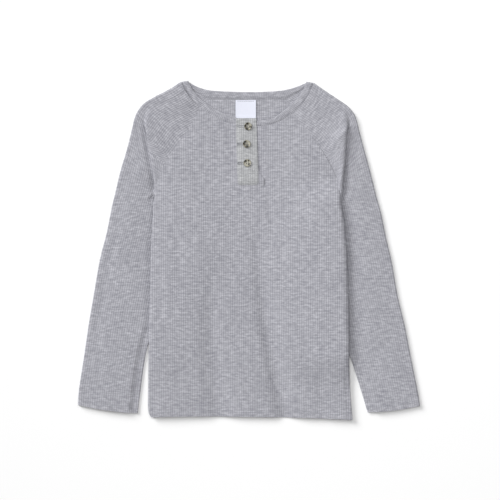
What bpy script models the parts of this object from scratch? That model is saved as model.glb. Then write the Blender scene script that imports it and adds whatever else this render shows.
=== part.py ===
"""Child's long-sleeved raglan henley shirt, laid out flat with its face up.

The origin is under the middle of the laid-out shirt, on the surface it lies on. +Y runs
towards the neck, +X towards the wearer's left sleeve and +Z up. Tables are in millimetres.
Every cloth piece is a grid of points on the middle of its wall, which a Solidify modifier
turns into a wall of the cloth's own thickness.
"""

import math
from collections import namedtuple

import bmesh
import bpy
import numpy as np
from mathutils import Matrix

MM = 0.001

# Cloth and the way its layers lie on each other.
CLOTH = 1.2
BAND_CLOTH = 2.0
STRIP_CLOTH = 1.2
LABEL_CLOTH = 1.0
LAYER = CLOTH + 0.4
SEAM_GAP = 0.3
EDGE_DROP = 0.25
FLOOR_LAYER = CLOTH / 2
ARM_UNDER = 2 * LAYER
ARM_TOP = FLOOR_LAYER + LAYER + 0.2
SHOULDER_TOP = FLOOR_LAYER + LAYER + 1.7
SHOULDER_START = 150.0
SHOULDER_SPAN = 50.0
BACK_RAMP = 14.0
RAMP_MARGIN = 8.0
ARMPIT_ROLL = 0.55
FRONT_RAMP = 34.0
FLANK_POWER = 4
SIDE_PUFF = 0.6
SLEEVE_PUFF = 1.1

# Seam corners shared by the pieces.
Corner = namedtuple("Corner", "x y")
ARMPIT = {-1: Corner(-131.0, 78.3), 1: Corner(124.2, 71.6)}

# Front and back below the arms, hem first: the side edges, and how far the middle of the
# row lies below the line between them.
Trunk = namedtuple("Trunk", "left_x left_y right_x right_y sag")
TRUNK = (
    Trunk(-132.6, -225.2, 140.6, -228.8, -2.2),
    Trunk(-136.4, -216.0, 140.0, -219.5, -2.0),
    Trunk(-136.9, -190.0, 139.0, -191.0, -1.0),
    Trunk(-137.0, -158.0, 138.3, -158.0, 0.0),
    Trunk(-137.0, -128.0, 137.5, -128.0, 0.0),
    Trunk(-136.7, -98.0, 136.3, -98.0, 0.0),
    Trunk(-136.2, -66.0, 134.9, -66.0, 0.0),
    Trunk(-135.4, -34.0, 133.4, -34.0, 0.0),
    Trunk(-134.6, -4.0, 131.8, -4.0, 0.0),
    Trunk(-134.0, 20.0, 130.2, 18.0, 0.0),
    Trunk(-133.2, 38.0, 128.8, 34.0, 0.0),
    Trunk(-132.6, 51.0, 127.4, 46.0, 0.0),
    Trunk(-132.0, 62.0, 126.0, 56.5, 0.0),
    Trunk(-131.5, 72.9, 124.9, 66.2, 0.0),
)

# One row for each station up a raglan seam, armpit first: the front seam, the back seam,
# the sleeve's shoulder edge, where the pleat's crease crosses the line from seam to edge
# (0 seam, 1 edge), how far the cloth turns there in degrees, and how deep it tucks under.
Raglan = namedtuple("Raglan", "front_x front_y back_x back_y edge_x edge_y crease turn tuck")
RAGLAN = {
    -1: (
        Raglan(-131.0, 78.3, -131.0, 78.3, -180.9, 75.6, 0.04, 60, 0.5),
        Raglan(-125.6, 89.1, -121.5, 91.8, -173.5, 106.7, 0.13, 140, 1.2),
        Raglan(-119.5, 104.0, -112.1, 109.4, -164.7, 136.4, 0.33, 180, 6.0),
        Raglan(-111.4, 119.5, -101.3, 126.9, -158.6, 160.7, 0.60, 170, 5.0),
        Raglan(-101.3, 135.0, -91.1, 143.1, -152.8, 182.3, 0.76, 70, 0.4),
        Raglan(-90.5, 149.9, -81.7, 159.3, -142.4, 197.1, 0.80, 12, 1.0),
        Raglan(-79.7, 166.1, -72.9, 174.2, -126.2, 207.2, 0.70, 0, 1.0),
        Raglan(-71.6, 180.9, -64.1, 189.0, -108.0, 216.7, 0.60, 0, 1.0),
        Raglan(-66.2, 193.1, -56.7, 203.2, -92.0, 227.0, 0.50, 0, 1.0),
    ),
    1: (
        Raglan(124.2, 71.6, 124.2, 71.6, 172.8, 68.9, 0.04, 60, 0.5),
        Raglan(120.2, 90.5, 115.4, 89.1, 163.4, 106.7, 0.14, 140, 1.2),
        Raglan(114.1, 104.6, 105.3, 108.0, 155.3, 136.4, 0.33, 180, 6.0),
        Raglan(107.3, 118.8, 94.5, 126.9, 149.2, 159.3, 0.53, 180, 7.0),
        Raglan(98.6, 133.7, 85.1, 143.1, 143.8, 179.6, 0.72, 85, 0.4),
        Raglan(89.1, 147.2, 75.6, 159.3, 134.3, 193.1, 0.80, 18, 1.0),
        Raglan(78.3, 160.0, 66.8, 174.2, 120.2, 203.2, 0.70, 0, 1.0),
        Raglan(67.5, 172.8, 58.0, 189.0, 104.0, 214.0, 0.60, 0, 1.0),
        Raglan(60.8, 185.0, 50.0, 203.2, 87.5, 225.6, 0.50, 0, 1.0),
    ),
}
# How far the middle of each of those rows sags on the front and on the back.
FRONT_SAG = (0.0, 0.0, 1.0, 3.0, 6.0, 9.5, 13.5, 18.0, 22.0)
BACK_SAG = (0.0, 0.0, 0.0, 0.0, 0.0, 0.0, 0.0, 0.5, 1.0)
NECK_SHAPE = 2.4
NECK_BULGE = 3.0

# The sleeves below the armpits: the inner edge, which is tucked under the body down to the
# place where it comes out from its side, and the outer edge.
Arm = namedtuple("Arm", "inner_x inner_y outer_x outer_y")
ARM = {
    -1: (
        Arm(-132.6, 72.9, -182.5, 69.5),
        Arm(-125.6, 63.5, -185.2, 58.0),
        Arm(-110.7, 48.6, -188.3, 41.9),
        Arm(-101.9, 25.7, -193.1, 18.9),
        Arm(-104.0, -10.8, -201.2, -12.2),
        Arm(-114.8, -56.7, -208.9, -56.7),
        Arm(-128.3, -99.9, -216.3, -99.9),
        Arm(-139.7, -140.4, -222.4, -141.8),
        Arm(-146.8, -189.0, -229.2, -186.3),
        Arm(-150.5, -220.0, -230.9, -209.0),
    ),
    1: (
        Arm(125.9, 66.2, 174.6, 62.8),
        Arm(118.8, 56.7, 177.5, 52.7),
        Arm(104.0, 41.9, 180.9, 37.1),
        Arm(95.2, 18.9, 185.4, 14.9),
        Arm(97.2, -16.2, 192.4, -14.9),
        Arm(108.0, -60.8, 200.5, -60.8),
        Arm(122.9, -106.7, 210.6, -104.0),
        Arm(138.4, -145.8, 218.4, -144.5),
        Arm(151.9, -189.0, 226.8, -186.3),
        Arm(162.0, -218.7, 230.9, -209.9),
    ),
}
CUFF_BULGE = 1.8

# How high the front lies above the back, by height up the shirt: in the middle, at the
# sides, and the share of the sleeve's lift that it takes.
Loft = namedtuple("Loft", "y middle side heave")
LOFT = (
    Loft(-230.0, 2.8, 0.6, 1.0),
    Loft(-110.0, 2.6, 0.6, 1.0),
    Loft(0.0, 2.1, 0.6, 1.0),
    Loft(72.0, 1.7, 0.6, 1.0),
    Loft(90.0, 1.7, 1.0, 0.9),
    Loft(130.0, 1.7, 1.5, 0.6),
    Loft(160.0, 1.7, 1.7, 0.2),
    Loft(185.0, 1.7, 1.7, 0.0),
)

# The soft troughs in the lower half of the front: the line along the bottom of each, from
# where it fades out down to the hem, its depth at the hem and its half width there.
Trough = namedtuple("Trough", "top_x top_y bend_x bend_y hem_x depth half_width")
TROUGHS = (
    Trough(-57.4, -8.0, -56.7, -120.0, -56.7, 2.6, 15.0),
    Trough(4.0, 14.0, 12.8, -88.0, 33.0, 2.3, 13.0),
)
TROUGH_START = 0.55
HEM_Y = -226.0

# The neckband: where each station of its free edge lies from the seam below it.
Reach = namedtuple("Reach", "x y")
BAND_FRONT = {
    -1: (Reach(0.0, 10.5), Reach(4.0, 9.5), Reach(8.1, 5.6)),
    1: (Reach(0.0, 7.5), Reach(-4.0, 6.5), Reach(-8.4, 7.6)),
}
BAND_SHOULDER = {
    -1: (Reach(8.1, 5.6), Reach(9.2, 1.2)),
    1: (Reach(-8.4, 7.6), Reach(-9.0, 1.4)),
}
BAND_BACK = (
    Reach(9.2, 1.2),
    Reach(4.4, 9.2),
    Reach(1.0, 8.6),
    Reach(0.0, 8.2),
    Reach(-1.0, 8.6),
    Reach(-4.4, 9.2),
    Reach(-9.0, 1.4),
)
BAND_GAP = 0.5
BAND_ENDS = {-1: -18.6, 1: 11.8}
BAND_BACK_Z = BAND_CLOTH / 2

# The placket: upper strip, under strip and the slit in the front below them.
Strip = namedtuple("Strip", "y left right")
PLACKET = (
    Strip(177.6, -17.6, 9.6),
    Strip(148.0, -17.2, 10.8),
    Strip(118.0, -16.2, 11.8),
    Strip(87.8, -14.9, 12.8),
)
PLACKET_UNDER = (
    Strip(175.0, -14.0, 8.0),
    Strip(148.0, -13.6, 9.4),
    Strip(106.0, -12.6, 11.0),
    Strip(96.0, -11.0, 20.3),
    Strip(86.4, -11.0, 20.3),
)
SLIT_LEFT = -7.5
SLIT_RIGHT = 1.5
UNDER_LIFT = CLOTH / 2 + 0.4 + STRIP_CLOTH / 2
PLACKET_LIFT = UNDER_LIFT + STRIP_CLOTH + 0.4

# The label sewn inside the back, below the band.
LABEL_WIDTH = 27.4
LABEL_X = -4.4
LABEL_TOP = 202.2
LABEL_FOOT = 173.5

# Buttons: round, with a rim, a dished face and four holes.
Button = namedtuple("Button", "x y")
BUTTONS = (Button(-2.0, 166.7), Button(-3.2, 143.1), Button(-2.6, 117.5))
BUTTON_RADIUS = 5.8
BUTTON_HEIGHT = 2.6
BUTTON_RIM = 1.2
BUTTON_DISH = 0.7
HOLE_RADIUS = 0.8
HOLE_OFFSET = 1.5
BUTTON_SIDES = 28
HOLE_SIDES = 10
SHARP_ANGLE = 40.0
# Its section, from the underside up: each ring's inset from the radius, and its height.
Ring = namedtuple("Ring", "inset height")
BUTTON_RINGS = (
    Ring(0.8, 0.0),
    Ring(0.0, 1.17),
    Ring(0.3, 2.34),
    Ring(0.8, BUTTON_HEIGHT),
    Ring(BUTTON_RIM, BUTTON_HEIGHT - 0.1),
    Ring(BUTTON_RIM + 0.7, BUTTON_HEIGHT - BUTTON_DISH),
)

# Grid steps across each stretch of a piece.
FRONT_STEPS = (9.0,) * 13
BACK_STEPS = (4.0,) + (5.5,) * 9 + (13.0,) * 5
ROLL_STEPS = 3
SEAM_STEPS = 2
BEND_STEPS = 4
ARM_STEPS = 6
TURN_STEPS = 4
CLOSE_STEPS = 3
FLAT_STEP = 0.8
BAND_FRONT_STEPS = 7
BAND_SHOULDER_STEPS = 6
BAND_BACK_STEPS = 12
STRIP_STEP = 12.0
STRIP_COLUMNS = 4
BEND_LENGTH = math.pi * LAYER / 2
ROLL_STRIP = 3.3
LEAST_REACH = 1.6
SETTLE_POWER = 4
RISE_START = 0.75


def ease(value):
    """Smooth 0 to 1 ramp."""
    value = np.clip(value, 0.0, 1.0)
    return value * value * (3.0 - 2.0 * value)


def column(rows, name):
    """One named column of a table."""
    return np.array([getattr(row, name) for row in rows])


def read_off(rows, name, y, key="y"):
    """A column's value at height y, between the rows of its table."""
    heights = column(rows, key)
    values = column(rows, name)
    order = np.argsort(heights)
    return np.interp(y, heights[order], values[order])


def mix(first, last, share):
    """The point a share of the way between two points."""
    return np.asarray(first) * (1.0 - share) + np.asarray(last) * share


def arm_edge(side, y, spread=1.2):
    """X of the sleeve's hidden inner edge, which swings outward above the armpit."""
    armpit_row = ARM[side][0]
    edge = read_off(ARM[side], "inner_x", y, "inner_y")
    return edge + side * spread * max(0.0, y - armpit_row.inner_y)


def back_height(x, y):
    """Middle of the back's wall: on the surface, or over the sleeves tucked under it."""
    lift = 0.0
    for side in (-1, 1):
        beyond = side * (x - arm_edge(side, y)) + RAMP_MARGIN
        lift = max(lift, ease(1.0 + beyond / BACK_RAMP))
    return FLOOR_LAYER + ARM_UNDER * lift


def side_edge(side, y):
    """X of the body's outline at height y, up the side and on along the raglan seam."""
    name = "left" if side < 0 else "right"
    if y <= ARMPIT[side].y:
        return read_off(TRUNK, name + "_x", y, name + "_y")
    return read_off(RAGLAN[side], "front_x", y, "front_y")


def trough_depth(x, y):
    """How far the troughs press the front down at a point."""
    depth = 0.0
    for trough in TROUGHS:
        heights = (HEM_Y, trough.bend_y, trough.top_y)
        line = np.interp(y, heights, (trough.hem_x, trough.bend_x, trough.top_x))
        grown = ease((trough.top_y - y) / (trough.top_y - HEM_Y))
        width = trough.half_width * (TROUGH_START + (1.0 - TROUGH_START) * grown)
        depth += trough.depth * grown * math.exp(-(((x - line) / width) ** 2))
    return depth


def front_height(x, y):
    """Middle of the front's wall above the surface."""
    side = -1 if x < 0 else 1
    edge = side_edge(side, y)
    across = min(1.0, abs(x / edge))
    middle = read_off(LOFT, "middle", y)
    flank = read_off(LOFT, "side", y)
    loft = flank + (middle - flank) * (1.0 - across**FLANK_POWER)
    hidden = arm_edge(side, min(y, ARM[side][0].inner_y))
    if y > ARM[side][0].inner_y:
        hidden = edge
    lift = ease(1.0 + (side * (x - hidden) + RAMP_MARGIN) / FRONT_RAMP)
    heave = read_off(LOFT, "heave", y)
    return FLOOR_LAYER + LAYER + loft + ARM_UNDER * lift * heave - trough_depth(x, y)


def cloth(name, grid, thickness, finish, skip=()):
    """Adds a cloth piece: the wall round a grid of points, without the skipped cells."""
    grid = np.asarray(grid, dtype=float) * MM
    rows, columns = grid.shape[:2]
    faces = []
    for row in range(rows - 1):
        for step in range(columns - 1):
            if (row, step) in skip:
                continue
            corner = row * columns + step
            faces.append((corner, corner + 1, corner + columns + 1, corner + columns))
    mesh = bpy.data.meshes.new(name)
    mesh.from_pydata(grid.reshape(-1, 3).tolist(), [], faces)
    mesh.shade_smooth()
    mesh.materials.append(finish)
    piece = bpy.data.objects.new(name, mesh)
    bpy.context.scene.collection.objects.link(piece)
    wall = piece.modifiers.new("wall", "SOLIDIFY")
    wall.thickness = thickness * MM
    wall.offset = 0.0
    return piece


def finish_of(name, colour, roughness):
    """A plain surface finish."""
    finish = bpy.data.materials.new(name)
    finish.use_nodes = True
    shader = finish.node_tree.nodes["Principled BSDF"]
    shader.inputs["Base Color"].default_value = (*colour, 1.0)
    shader.inputs["Roughness"].default_value = roughness
    return finish


# ---------------------------------------------------------------- front and back


def body_columns(steps):
    """Share of the way across each half of a body row, from the side to the slit."""
    return np.concatenate(((0.0,), np.cumsum(steps))) / np.sum(steps)


def body_row(left, right, sag, inset, heights, rolled, up):
    """One row of a body panel, from its left edge to its right edge.

    A rolled row turns its edges through a quarter circle, or a share of one, to meet the
    other panel, and a flat row ends at a seam, inset by half the seam's gap.
    """
    shares = body_columns(BACK_STEPS if up else FRONT_STEPS)

    def row_y(x):
        across = (x - left.x) / (right.x - left.x)
        line_y = left.y + (right.y - left.y) * across
        return line_y - sag * (1.0 - abs(2.0 * across - 1.0) ** NECK_SHAPE)

    halves = []
    for side, end in ((-1, left), (1, right)):
        start_x = end.x - side * (inset + ROLL_STRIP)
        slit_x = SLIT_LEFT if side < 0 else SLIT_RIGHT
        xs = start_x + (slit_x - start_x) * shares
        edge = edge_points(side, end, inset, row_y, heights, rolled, up)
        inner = [(x, row_y(x), heights(x, row_y(x))) for x in xs]
        halves.append(edge + inner)
    return halves[0] + halves[1][::-1]


def quarter_turn(radius, steps):
    """A cloth edge turned to meet its neighbour halfway: (run in, drop), the seam first."""
    bend = radius - EDGE_DROP
    turn = [(0.0, radius - SEAM_GAP / 2.0)]
    for step in range(steps):
        angle = math.pi / 2.0 * (1.0 - step / (steps - 1))
        turn.append((bend * (1.0 - math.sin(angle)), bend * (1.0 - math.cos(angle))))
    return turn


def edge_points(side, end, inset, row_y, heights, rolled, up):
    """The strip along the side of a row, outermost point first."""
    points = []
    if not rolled:
        for step in range(ROLL_STEPS):
            x = end.x - side * (inset + ROLL_STRIP * step / ROLL_STEPS)
            points.append((x, row_y(x), heights(x, row_y(x))))
        return points
    outer_x = end.x - side * CLOTH / 2.0
    level = heights(outer_x, end.y)
    for run, drop in quarter_turn((LAYER + SIDE_PUFF) / 2.0, ROLL_STEPS)[:-1]:
        turned = rolled * (drop if up else -drop)
        points.append((outer_x - side * run, end.y, level + turned))
    return points


def body_grid(heights, sags, front):
    """All rows of the front or the back, hem first."""
    rows = []
    for row in TRUNK:
        left = Corner(row.left_x, row.left_y)
        right = Corner(row.right_x, row.right_y)
        rolled = ARMPIT_ROLL if row is TRUNK[-1] else 1.0
        rows.append(body_row(left, right, row.sag, 0.0, heights, rolled, not front))
    seam_x = "front_x" if front else "back_x"
    seam_y = "front_y" if front else "back_y"
    for left_row, right_row, sag in zip(RAGLAN[-1], RAGLAN[1], sags):
        left = Corner(getattr(left_row, seam_x), getattr(left_row, seam_y))
        right = Corner(getattr(right_row, seam_x), getattr(right_row, seam_y))
        rows.append(body_row(left, right, sag, SEAM_GAP / 2.0, heights, 0.0, not front))
    return rows


def build_body(finish):
    """The front, with its slit, and the back."""
    front = body_grid(front_height, FRONT_SAG, True)
    back = body_grid(back_height, BACK_SAG, False)
    slit_column = ROLL_STEPS + len(FRONT_STEPS)
    first_slit_row = len(TRUNK) + 1
    slit = {(row, slit_column) for row in range(first_slit_row, len(front) - 1)}
    cloth("front", front, CLOTH, finish, skip=slit)
    cloth("back", back, CLOTH, finish)


# ---------------------------------------------------------------- sleeves


def pleat_path(length, crease, turn, tuck, seam_z, arm_z):
    """Section of a sleeve's upper layer across its pleat: (distance, height) pairs.

    It runs level from the seam to the crease, turns down through the given angle, runs
    the tuck's depth, turns back by as much and goes on at the arm's own height.
    """
    angle = math.radians(turn)
    piece = BEND_LENGTH / BEND_STEPS
    headings = [angle * (step + 0.5) / BEND_STEPS for step in range(BEND_STEPS)]
    runs = [(piece, heading) for heading in headings]
    runs.append((tuck, angle))
    runs += [(piece, heading) for heading in reversed(headings)]
    fall = sum(run * math.sin(heading) for run, heading in runs)
    reach = max(LEAST_REACH, length * crease)
    crease_z = arm_z + fall
    path = []
    for step in range(SEAM_STEPS + CLOSE_STEPS + 1):
        share = step / (SEAM_STEPS + CLOSE_STEPS)
        path.append((reach * share, seam_z + (crease_z - seam_z) * ease(share)))
    distance, height = path[-1]
    for run, heading in runs:
        distance += run * math.cos(heading)
        height -= run * math.sin(heading)
        path.append((distance, height))
    return path


def tube_path(arm_z, floor_z):
    """The same stretch below the armpit: the inner edge's turn, then flat cloth."""
    radius = (arm_z - floor_z) / 2.0
    path = [(run, arm_z - drop) for run, drop in quarter_turn(radius, CLOSE_STEPS)]
    flat_steps = SEAM_STEPS + 2 * BEND_STEPS + 1
    for step in range(flat_steps):
        path.append((radius + FLAT_STEP * (step + 1), arm_z))
    return path


def outward(outer, row, side):
    """Unit vector out of the sleeve's outer edge at a row."""
    before = outer[max(row - 1, 0)]
    after = outer[min(row + 1, len(outer) - 1)]
    run = (after - before) / np.linalg.norm(after - before)
    return np.array((-run[1], run[0])) * side


def sleeve_row(upper_at, lower_at, path, edge, out, arm_z, floor_z, closed, floor_rise):
    """One row round a sleeve: upper layer, turn at the outer edge, lower layer."""
    radius = (arm_z - floor_z) / 2.0
    centre = edge - out * (CLOTH / 2.0 + radius)
    upper_start = upper_at(0.0)
    length = np.linalg.norm(centre - upper_start)
    points = []
    for distance, height in path:
        spot = upper_at(distance / length)
        points.append((*spot, height))
    last_share = path[-1][0] / length
    last_height = path[-1][1]
    for step in range(1, ARM_STEPS + 1):
        share = step / ARM_STEPS
        spot = upper_at(last_share + (1.0 - last_share) * share)
        puff = SLEEVE_PUFF * shown_puff(spot, edge)
        settle = (1.0 - share) ** SETTLE_POWER
        points.append((*spot, arm_z + (last_height - arm_z) * settle + puff))
    for step in range(1, TURN_STEPS + 1):
        angle = math.pi * step / TURN_STEPS
        spot = centre + out * radius * math.sin(angle)
        points.append((*spot, floor_z + radius * (1.0 + math.cos(angle))))
    for step in range(1, ARM_STEPS + 1):
        share = step / ARM_STEPS
        climb = ease((share - RISE_START) / (1.0 - RISE_START))
        points.append((*lower_at(share), floor_z + floor_rise * climb))
    if closed:
        points += closing_turn(points[-1], lower_at, radius)
    else:
        spot = np.array(points[-1][:2])
        before = np.array(points[-2][:2])
        step_out = (spot - before) / np.linalg.norm(spot - before)
        height = points[-1][2]
        for step in range(1, CLOSE_STEPS + 1):
            points.append((*(spot + step_out * step), height))
    return points


def shown_puff(spot, edge):
    """Share of the puff at a point: none where the body lies on the sleeve."""
    side = -1 if edge[0] < 0 else 1
    start = side_edge(side, spot[1])
    share = np.clip((spot[0] - start) / (edge[0] - start), 0.0, 1.0)
    return math.sin(math.pi * share) ** 2


def closing_turn(last, lower_at, radius):
    """The lower layer's quarter turn up to the seam along the underarm."""
    start = np.array(last[:2])
    heading = lower_at(1.0) - lower_at(0.9)
    heading /= np.linalg.norm(heading)
    points = []
    for run, drop in quarter_turn(radius, CLOSE_STEPS)[-2::-1]:
        spot = start + heading * (radius - EDGE_DROP - run)
        points.append((*spot, last[2] + drop))
    return points


def bowed(first, last, bulge, down):
    """A line between two points, bowed sideways in the middle."""
    first = np.asarray(first)
    last = np.asarray(last)
    along = (last - first) / np.linalg.norm(last - first)
    across = np.array((along[1], -along[0]))
    if across[1] > 0 if down else across[1] < 0:
        across = -across
    return lambda share: mix(first, last, share) + across * bulge * 4.0 * share * (1.0 - share)


def raglan_rows(side):
    """The open rows of a sleeve, armpit last."""
    rows = []
    stations = RAGLAN[side][::-1]
    edges = [np.array((row.edge_x, row.edge_y)) for row in stations]
    edges.append(np.array((ARM[side][0].outer_x, ARM[side][0].outer_y)))
    for number, row in enumerate(stations):
        out = outward(edges, number, side)
        edge = edges[number]
        seam_z = front_height(row.front_x, row.front_y)
        seam_floor = back_height(row.back_x, row.back_y)
        shoulder = ease((row.edge_y - SHOULDER_START) / SHOULDER_SPAN)
        arm_z = ARM_TOP + (SHOULDER_TOP - ARM_TOP) * shoulder
        centre = edge - out * (CLOTH / 2.0 + (arm_z - FLOOR_LAYER) / 2.0)
        bulge = NECK_BULGE * max(0.0, 1.0 - number / 2.0)
        front = seam_start(row.front_x, row.front_y, centre)
        back = seam_start(row.back_x, row.back_y, centre)
        back_stop = mix(back, centre, CLOSE_STEPS / np.linalg.norm(centre - back))
        upper_at = bowed(front, centre, bulge, True)
        lower_at = bowed(centre, back_stop, 0.0, True)
        length = np.linalg.norm(centre - front)
        pleat_z = max(arm_z, seam_floor + LAYER)
        path = pleat_path(length, row.crease, row.turn, row.tuck, seam_z, pleat_z)
        rise = seam_floor - FLOOR_LAYER
        rows.append(sleeve_row(
            upper_at, lower_at, path, edge, out, arm_z, FLOOR_LAYER, False, rise))
    return rows


def neck_ends(side):
    """Where the sleeve's neck edge starts at the front and ends at the back."""
    row = RAGLAN[side][-1]
    return np.array((row.front_x, row.front_y)), np.array((row.back_x, row.back_y))


def seam_start(x, y, centre):
    """A seam point moved into the sleeve by half the seam's gap."""
    seam = np.array((x, y))
    return seam + (centre - seam) / np.linalg.norm(centre - seam) * SEAM_GAP / 2.0


def arm_rows(side):
    """The closed rows of a sleeve, cuff last."""
    rows = []
    edges = [np.array((RAGLAN[side][0].edge_x, RAGLAN[side][0].edge_y))]
    edges += [np.array((row.outer_x, row.outer_y)) for row in ARM[side]]
    for number, row in enumerate(ARM[side]):
        out = outward(edges, number + 1, side)
        edge = edges[number + 1]
        radius = (ARM_TOP - FLOOR_LAYER) / 2.0
        centre = edge - out * (CLOTH / 2.0 + radius)
        inner = np.array((row.inner_x, row.inner_y))
        inward = (inner - centre) / np.linalg.norm(inner - centre)
        stop = inner - inward * radius
        bulge = CUFF_BULGE if number == len(ARM[side]) - 1 else 0.0
        upper_at = bowed(inner, centre, bulge, True)
        lower_at = bowed(centre, stop, bulge, True)
        path = tube_path(ARM_TOP, FLOOR_LAYER)
        rows.append(sleeve_row(
            upper_at, lower_at, path, edge, out, ARM_TOP, FLOOR_LAYER, True, 0.0))
    return rows


def build_sleeve(name, side, finish):
    """One sleeve, a single panel from the neck to the cuff."""
    rows = raglan_rows(side) + arm_rows(side)
    if side > 0:
        rows = [row[::-1] for row in rows]
    cloth(name, rows, CLOTH, finish)


# ---------------------------------------------------------------- neckband


def neck_row(x, front):
    """Y of the neck seam of the front or the back at x."""
    ends = [neck_ends(side)[0 if front else 1] for side in (-1, 1)]
    across = (x - ends[0][0]) / (ends[1][0] - ends[0][0])
    sag = FRONT_SAG[-1] if front else BACK_SAG[-1]
    line_y = ends[0][1] + (ends[1][1] - ends[0][1]) * across
    return line_y - sag * (1.0 - abs(2.0 * across - 1.0) ** NECK_SHAPE)


def reach_at(reaches, share):
    """The band's reach a share of the way along a stretch."""
    places = np.linspace(0.0, 1.0, len(reaches))
    return np.array([np.interp(share, places, column(reaches, name)) for name in "xy"])


def band_front(side):
    """Stations of the band along the front, from the placket to the shoulder's fold."""
    front_end, _ = neck_ends(side)
    start_x = BAND_ENDS[side]
    stations = []
    for step in range(BAND_FRONT_STEPS):
        share = step / BAND_FRONT_STEPS
        x = start_x + (front_end[0] - start_x) * share
        y = neck_row(x, True)
        stations.append((x, y, front_height(x, y), *reach_at(BAND_FRONT[side], share)))
    fold, out, radius = band_fold(side)
    along = bowed(front_end, fold, NECK_BULGE, True)
    for step in range(BAND_SHOULDER_STEPS + 1):
        share = step / BAND_SHOULDER_STEPS
        reach = reach_at(BAND_SHOULDER[side], share)
        stations.append((*along(share), BAND_BACK_Z + 2.0 * radius, *reach))
    for step in range(1, TURN_STEPS):
        angle = math.pi * step / TURN_STEPS
        spot = fold + out * radius * math.sin(angle)
        height = BAND_BACK_Z + radius * (1.0 + math.cos(angle))
        stations.append((*spot, height, *BAND_SHOULDER[side][-1]))
    return stations


def band_fold(side):
    """Centre of the band's turn at the shoulder, the way out of it and its radius."""
    row = RAGLAN[side][-1]
    below = RAGLAN[side][-2]
    edge = np.array((row.edge_x, row.edge_y))
    top = front_height(row.front_x, row.front_y)
    sleeve_out = outward([edge, np.array((below.edge_x, below.edge_y))], 0, side)
    fold = edge - sleeve_out * (CLOTH / 2.0 + (top - FLOOR_LAYER) / 2.0)
    reach = BAND_SHOULDER[side][-1]
    out = np.array((-reach.y, reach.x)) * -side / math.hypot(reach.x, reach.y)
    return fold, out, (top - BAND_BACK_Z) / 2.0


def band_back():
    """Stations of the band across the back, from fold to fold."""
    folds = [band_fold(side)[0] for side in (-1, 1)]
    joins = [neck_ends(side)[1] for side in (-1, 1)]
    line = [mix(folds[0], joins[0], step / BAND_SHOULDER_STEPS)
            for step in range(BAND_SHOULDER_STEPS)]
    for x in np.linspace(joins[0][0], joins[1][0], BAND_BACK_STEPS + 1):
        line.append(np.array((x, neck_row(x, False))))
    line += [mix(joins[1], folds[1], (step + 1) / BAND_SHOULDER_STEPS)
             for step in range(BAND_SHOULDER_STEPS)]
    lengths = [np.linalg.norm(after - before) for before, after in zip(line, line[1:])]
    run = np.concatenate(((0.0,), np.cumsum(lengths)))
    return [(*spot, BAND_BACK_Z, *reach_at(BAND_BACK, share))
            for spot, share in zip(line, run / run[-1])]


def build_neckband(finish):
    """The neckband, one strip from the placket round the neck and back to it."""
    stations = band_front(-1) + band_back() + band_front(1)[::-1]
    rows = []
    for x, y, z, reach_x, reach_y in stations:
        reach = np.array((reach_x, reach_y))
        start = BAND_GAP * reach / np.linalg.norm(reach)
        rows.append([(*(np.array((x, y)) + mix(start, reach, share)), z) for share in (0, 0.5, 1)])
    cloth("neckband", rows, BAND_CLOTH, finish)


# ---------------------------------------------------------------- placket, label, buttons


def build_strip(name, table, lift, thickness, finish):
    """A strip that lies on the front, made from the front's own heights."""
    rows = []
    for upper, lower in zip(table, table[1:]):
        steps = max(1, round((upper.y - lower.y) / STRIP_STEP))
        for step in range(steps):
            rows.append(mix(upper, lower, step / steps))
    rows.append(table[-1])
    grid = []
    for y, left, right in rows:
        xs = np.linspace(left, right, STRIP_COLUMNS + 1)
        grid.append([(x, y, front_height(x, y) + lift) for x in xs])
    cloth(name, grid, thickness, finish)


def build_label(finish):
    """The neck label, lying on the inside of the back."""
    height = CLOTH + SEAM_GAP + LABEL_CLOTH / 2.0
    xs = LABEL_X + LABEL_WIDTH * np.linspace(-0.5, 0.5, 3)
    ys = np.linspace(LABEL_TOP, LABEL_FOOT, 3)
    cloth("neck_label", [[(x, y, height) for x in xs] for y in ys], LABEL_CLOTH, finish)


def build_button(name, spot, finish):
    """A round button with a rim, a dished face and four holes."""
    base = front_height(spot.x, spot.y) + PLACKET_LIFT + STRIP_CLOTH / 2.0 + SEAM_GAP
    model = bmesh.new()
    rings = []
    for row in BUTTON_RINGS:
        radius = (BUTTON_RADIUS - row.inset) * MM
        ring = []
        for step in range(BUTTON_SIDES):
            angle = 2.0 * math.pi * step / BUTTON_SIDES
            point = (radius * math.cos(angle), radius * math.sin(angle), row.height * MM)
            ring.append(model.verts.new(point))
        rings.append(ring)
    for lower, upper in zip(rings, rings[1:]):
        for step in range(BUTTON_SIDES):
            after = (step + 1) % BUTTON_SIDES
            model.faces.new((lower[step], lower[after], upper[after], upper[step]))
    model.faces.new(rings[0][::-1])
    model.faces.new(rings[-1])
    mesh = bpy.data.meshes.new(name)
    model.to_mesh(mesh)
    model.free()
    mesh.shade_smooth()
    mesh.set_sharp_from_angle(angle=math.radians(SHARP_ANGLE))
    mesh.materials.append(finish)
    button = bpy.data.objects.new(name, mesh)
    button.location = (spot.x * MM, spot.y * MM, base * MM)
    bpy.context.scene.collection.objects.link(button)
    holes = button.modifiers.new("holes", "BOOLEAN")
    holes.object = button_drill(name, button.location)
    holes.operation = "DIFFERENCE"


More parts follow.
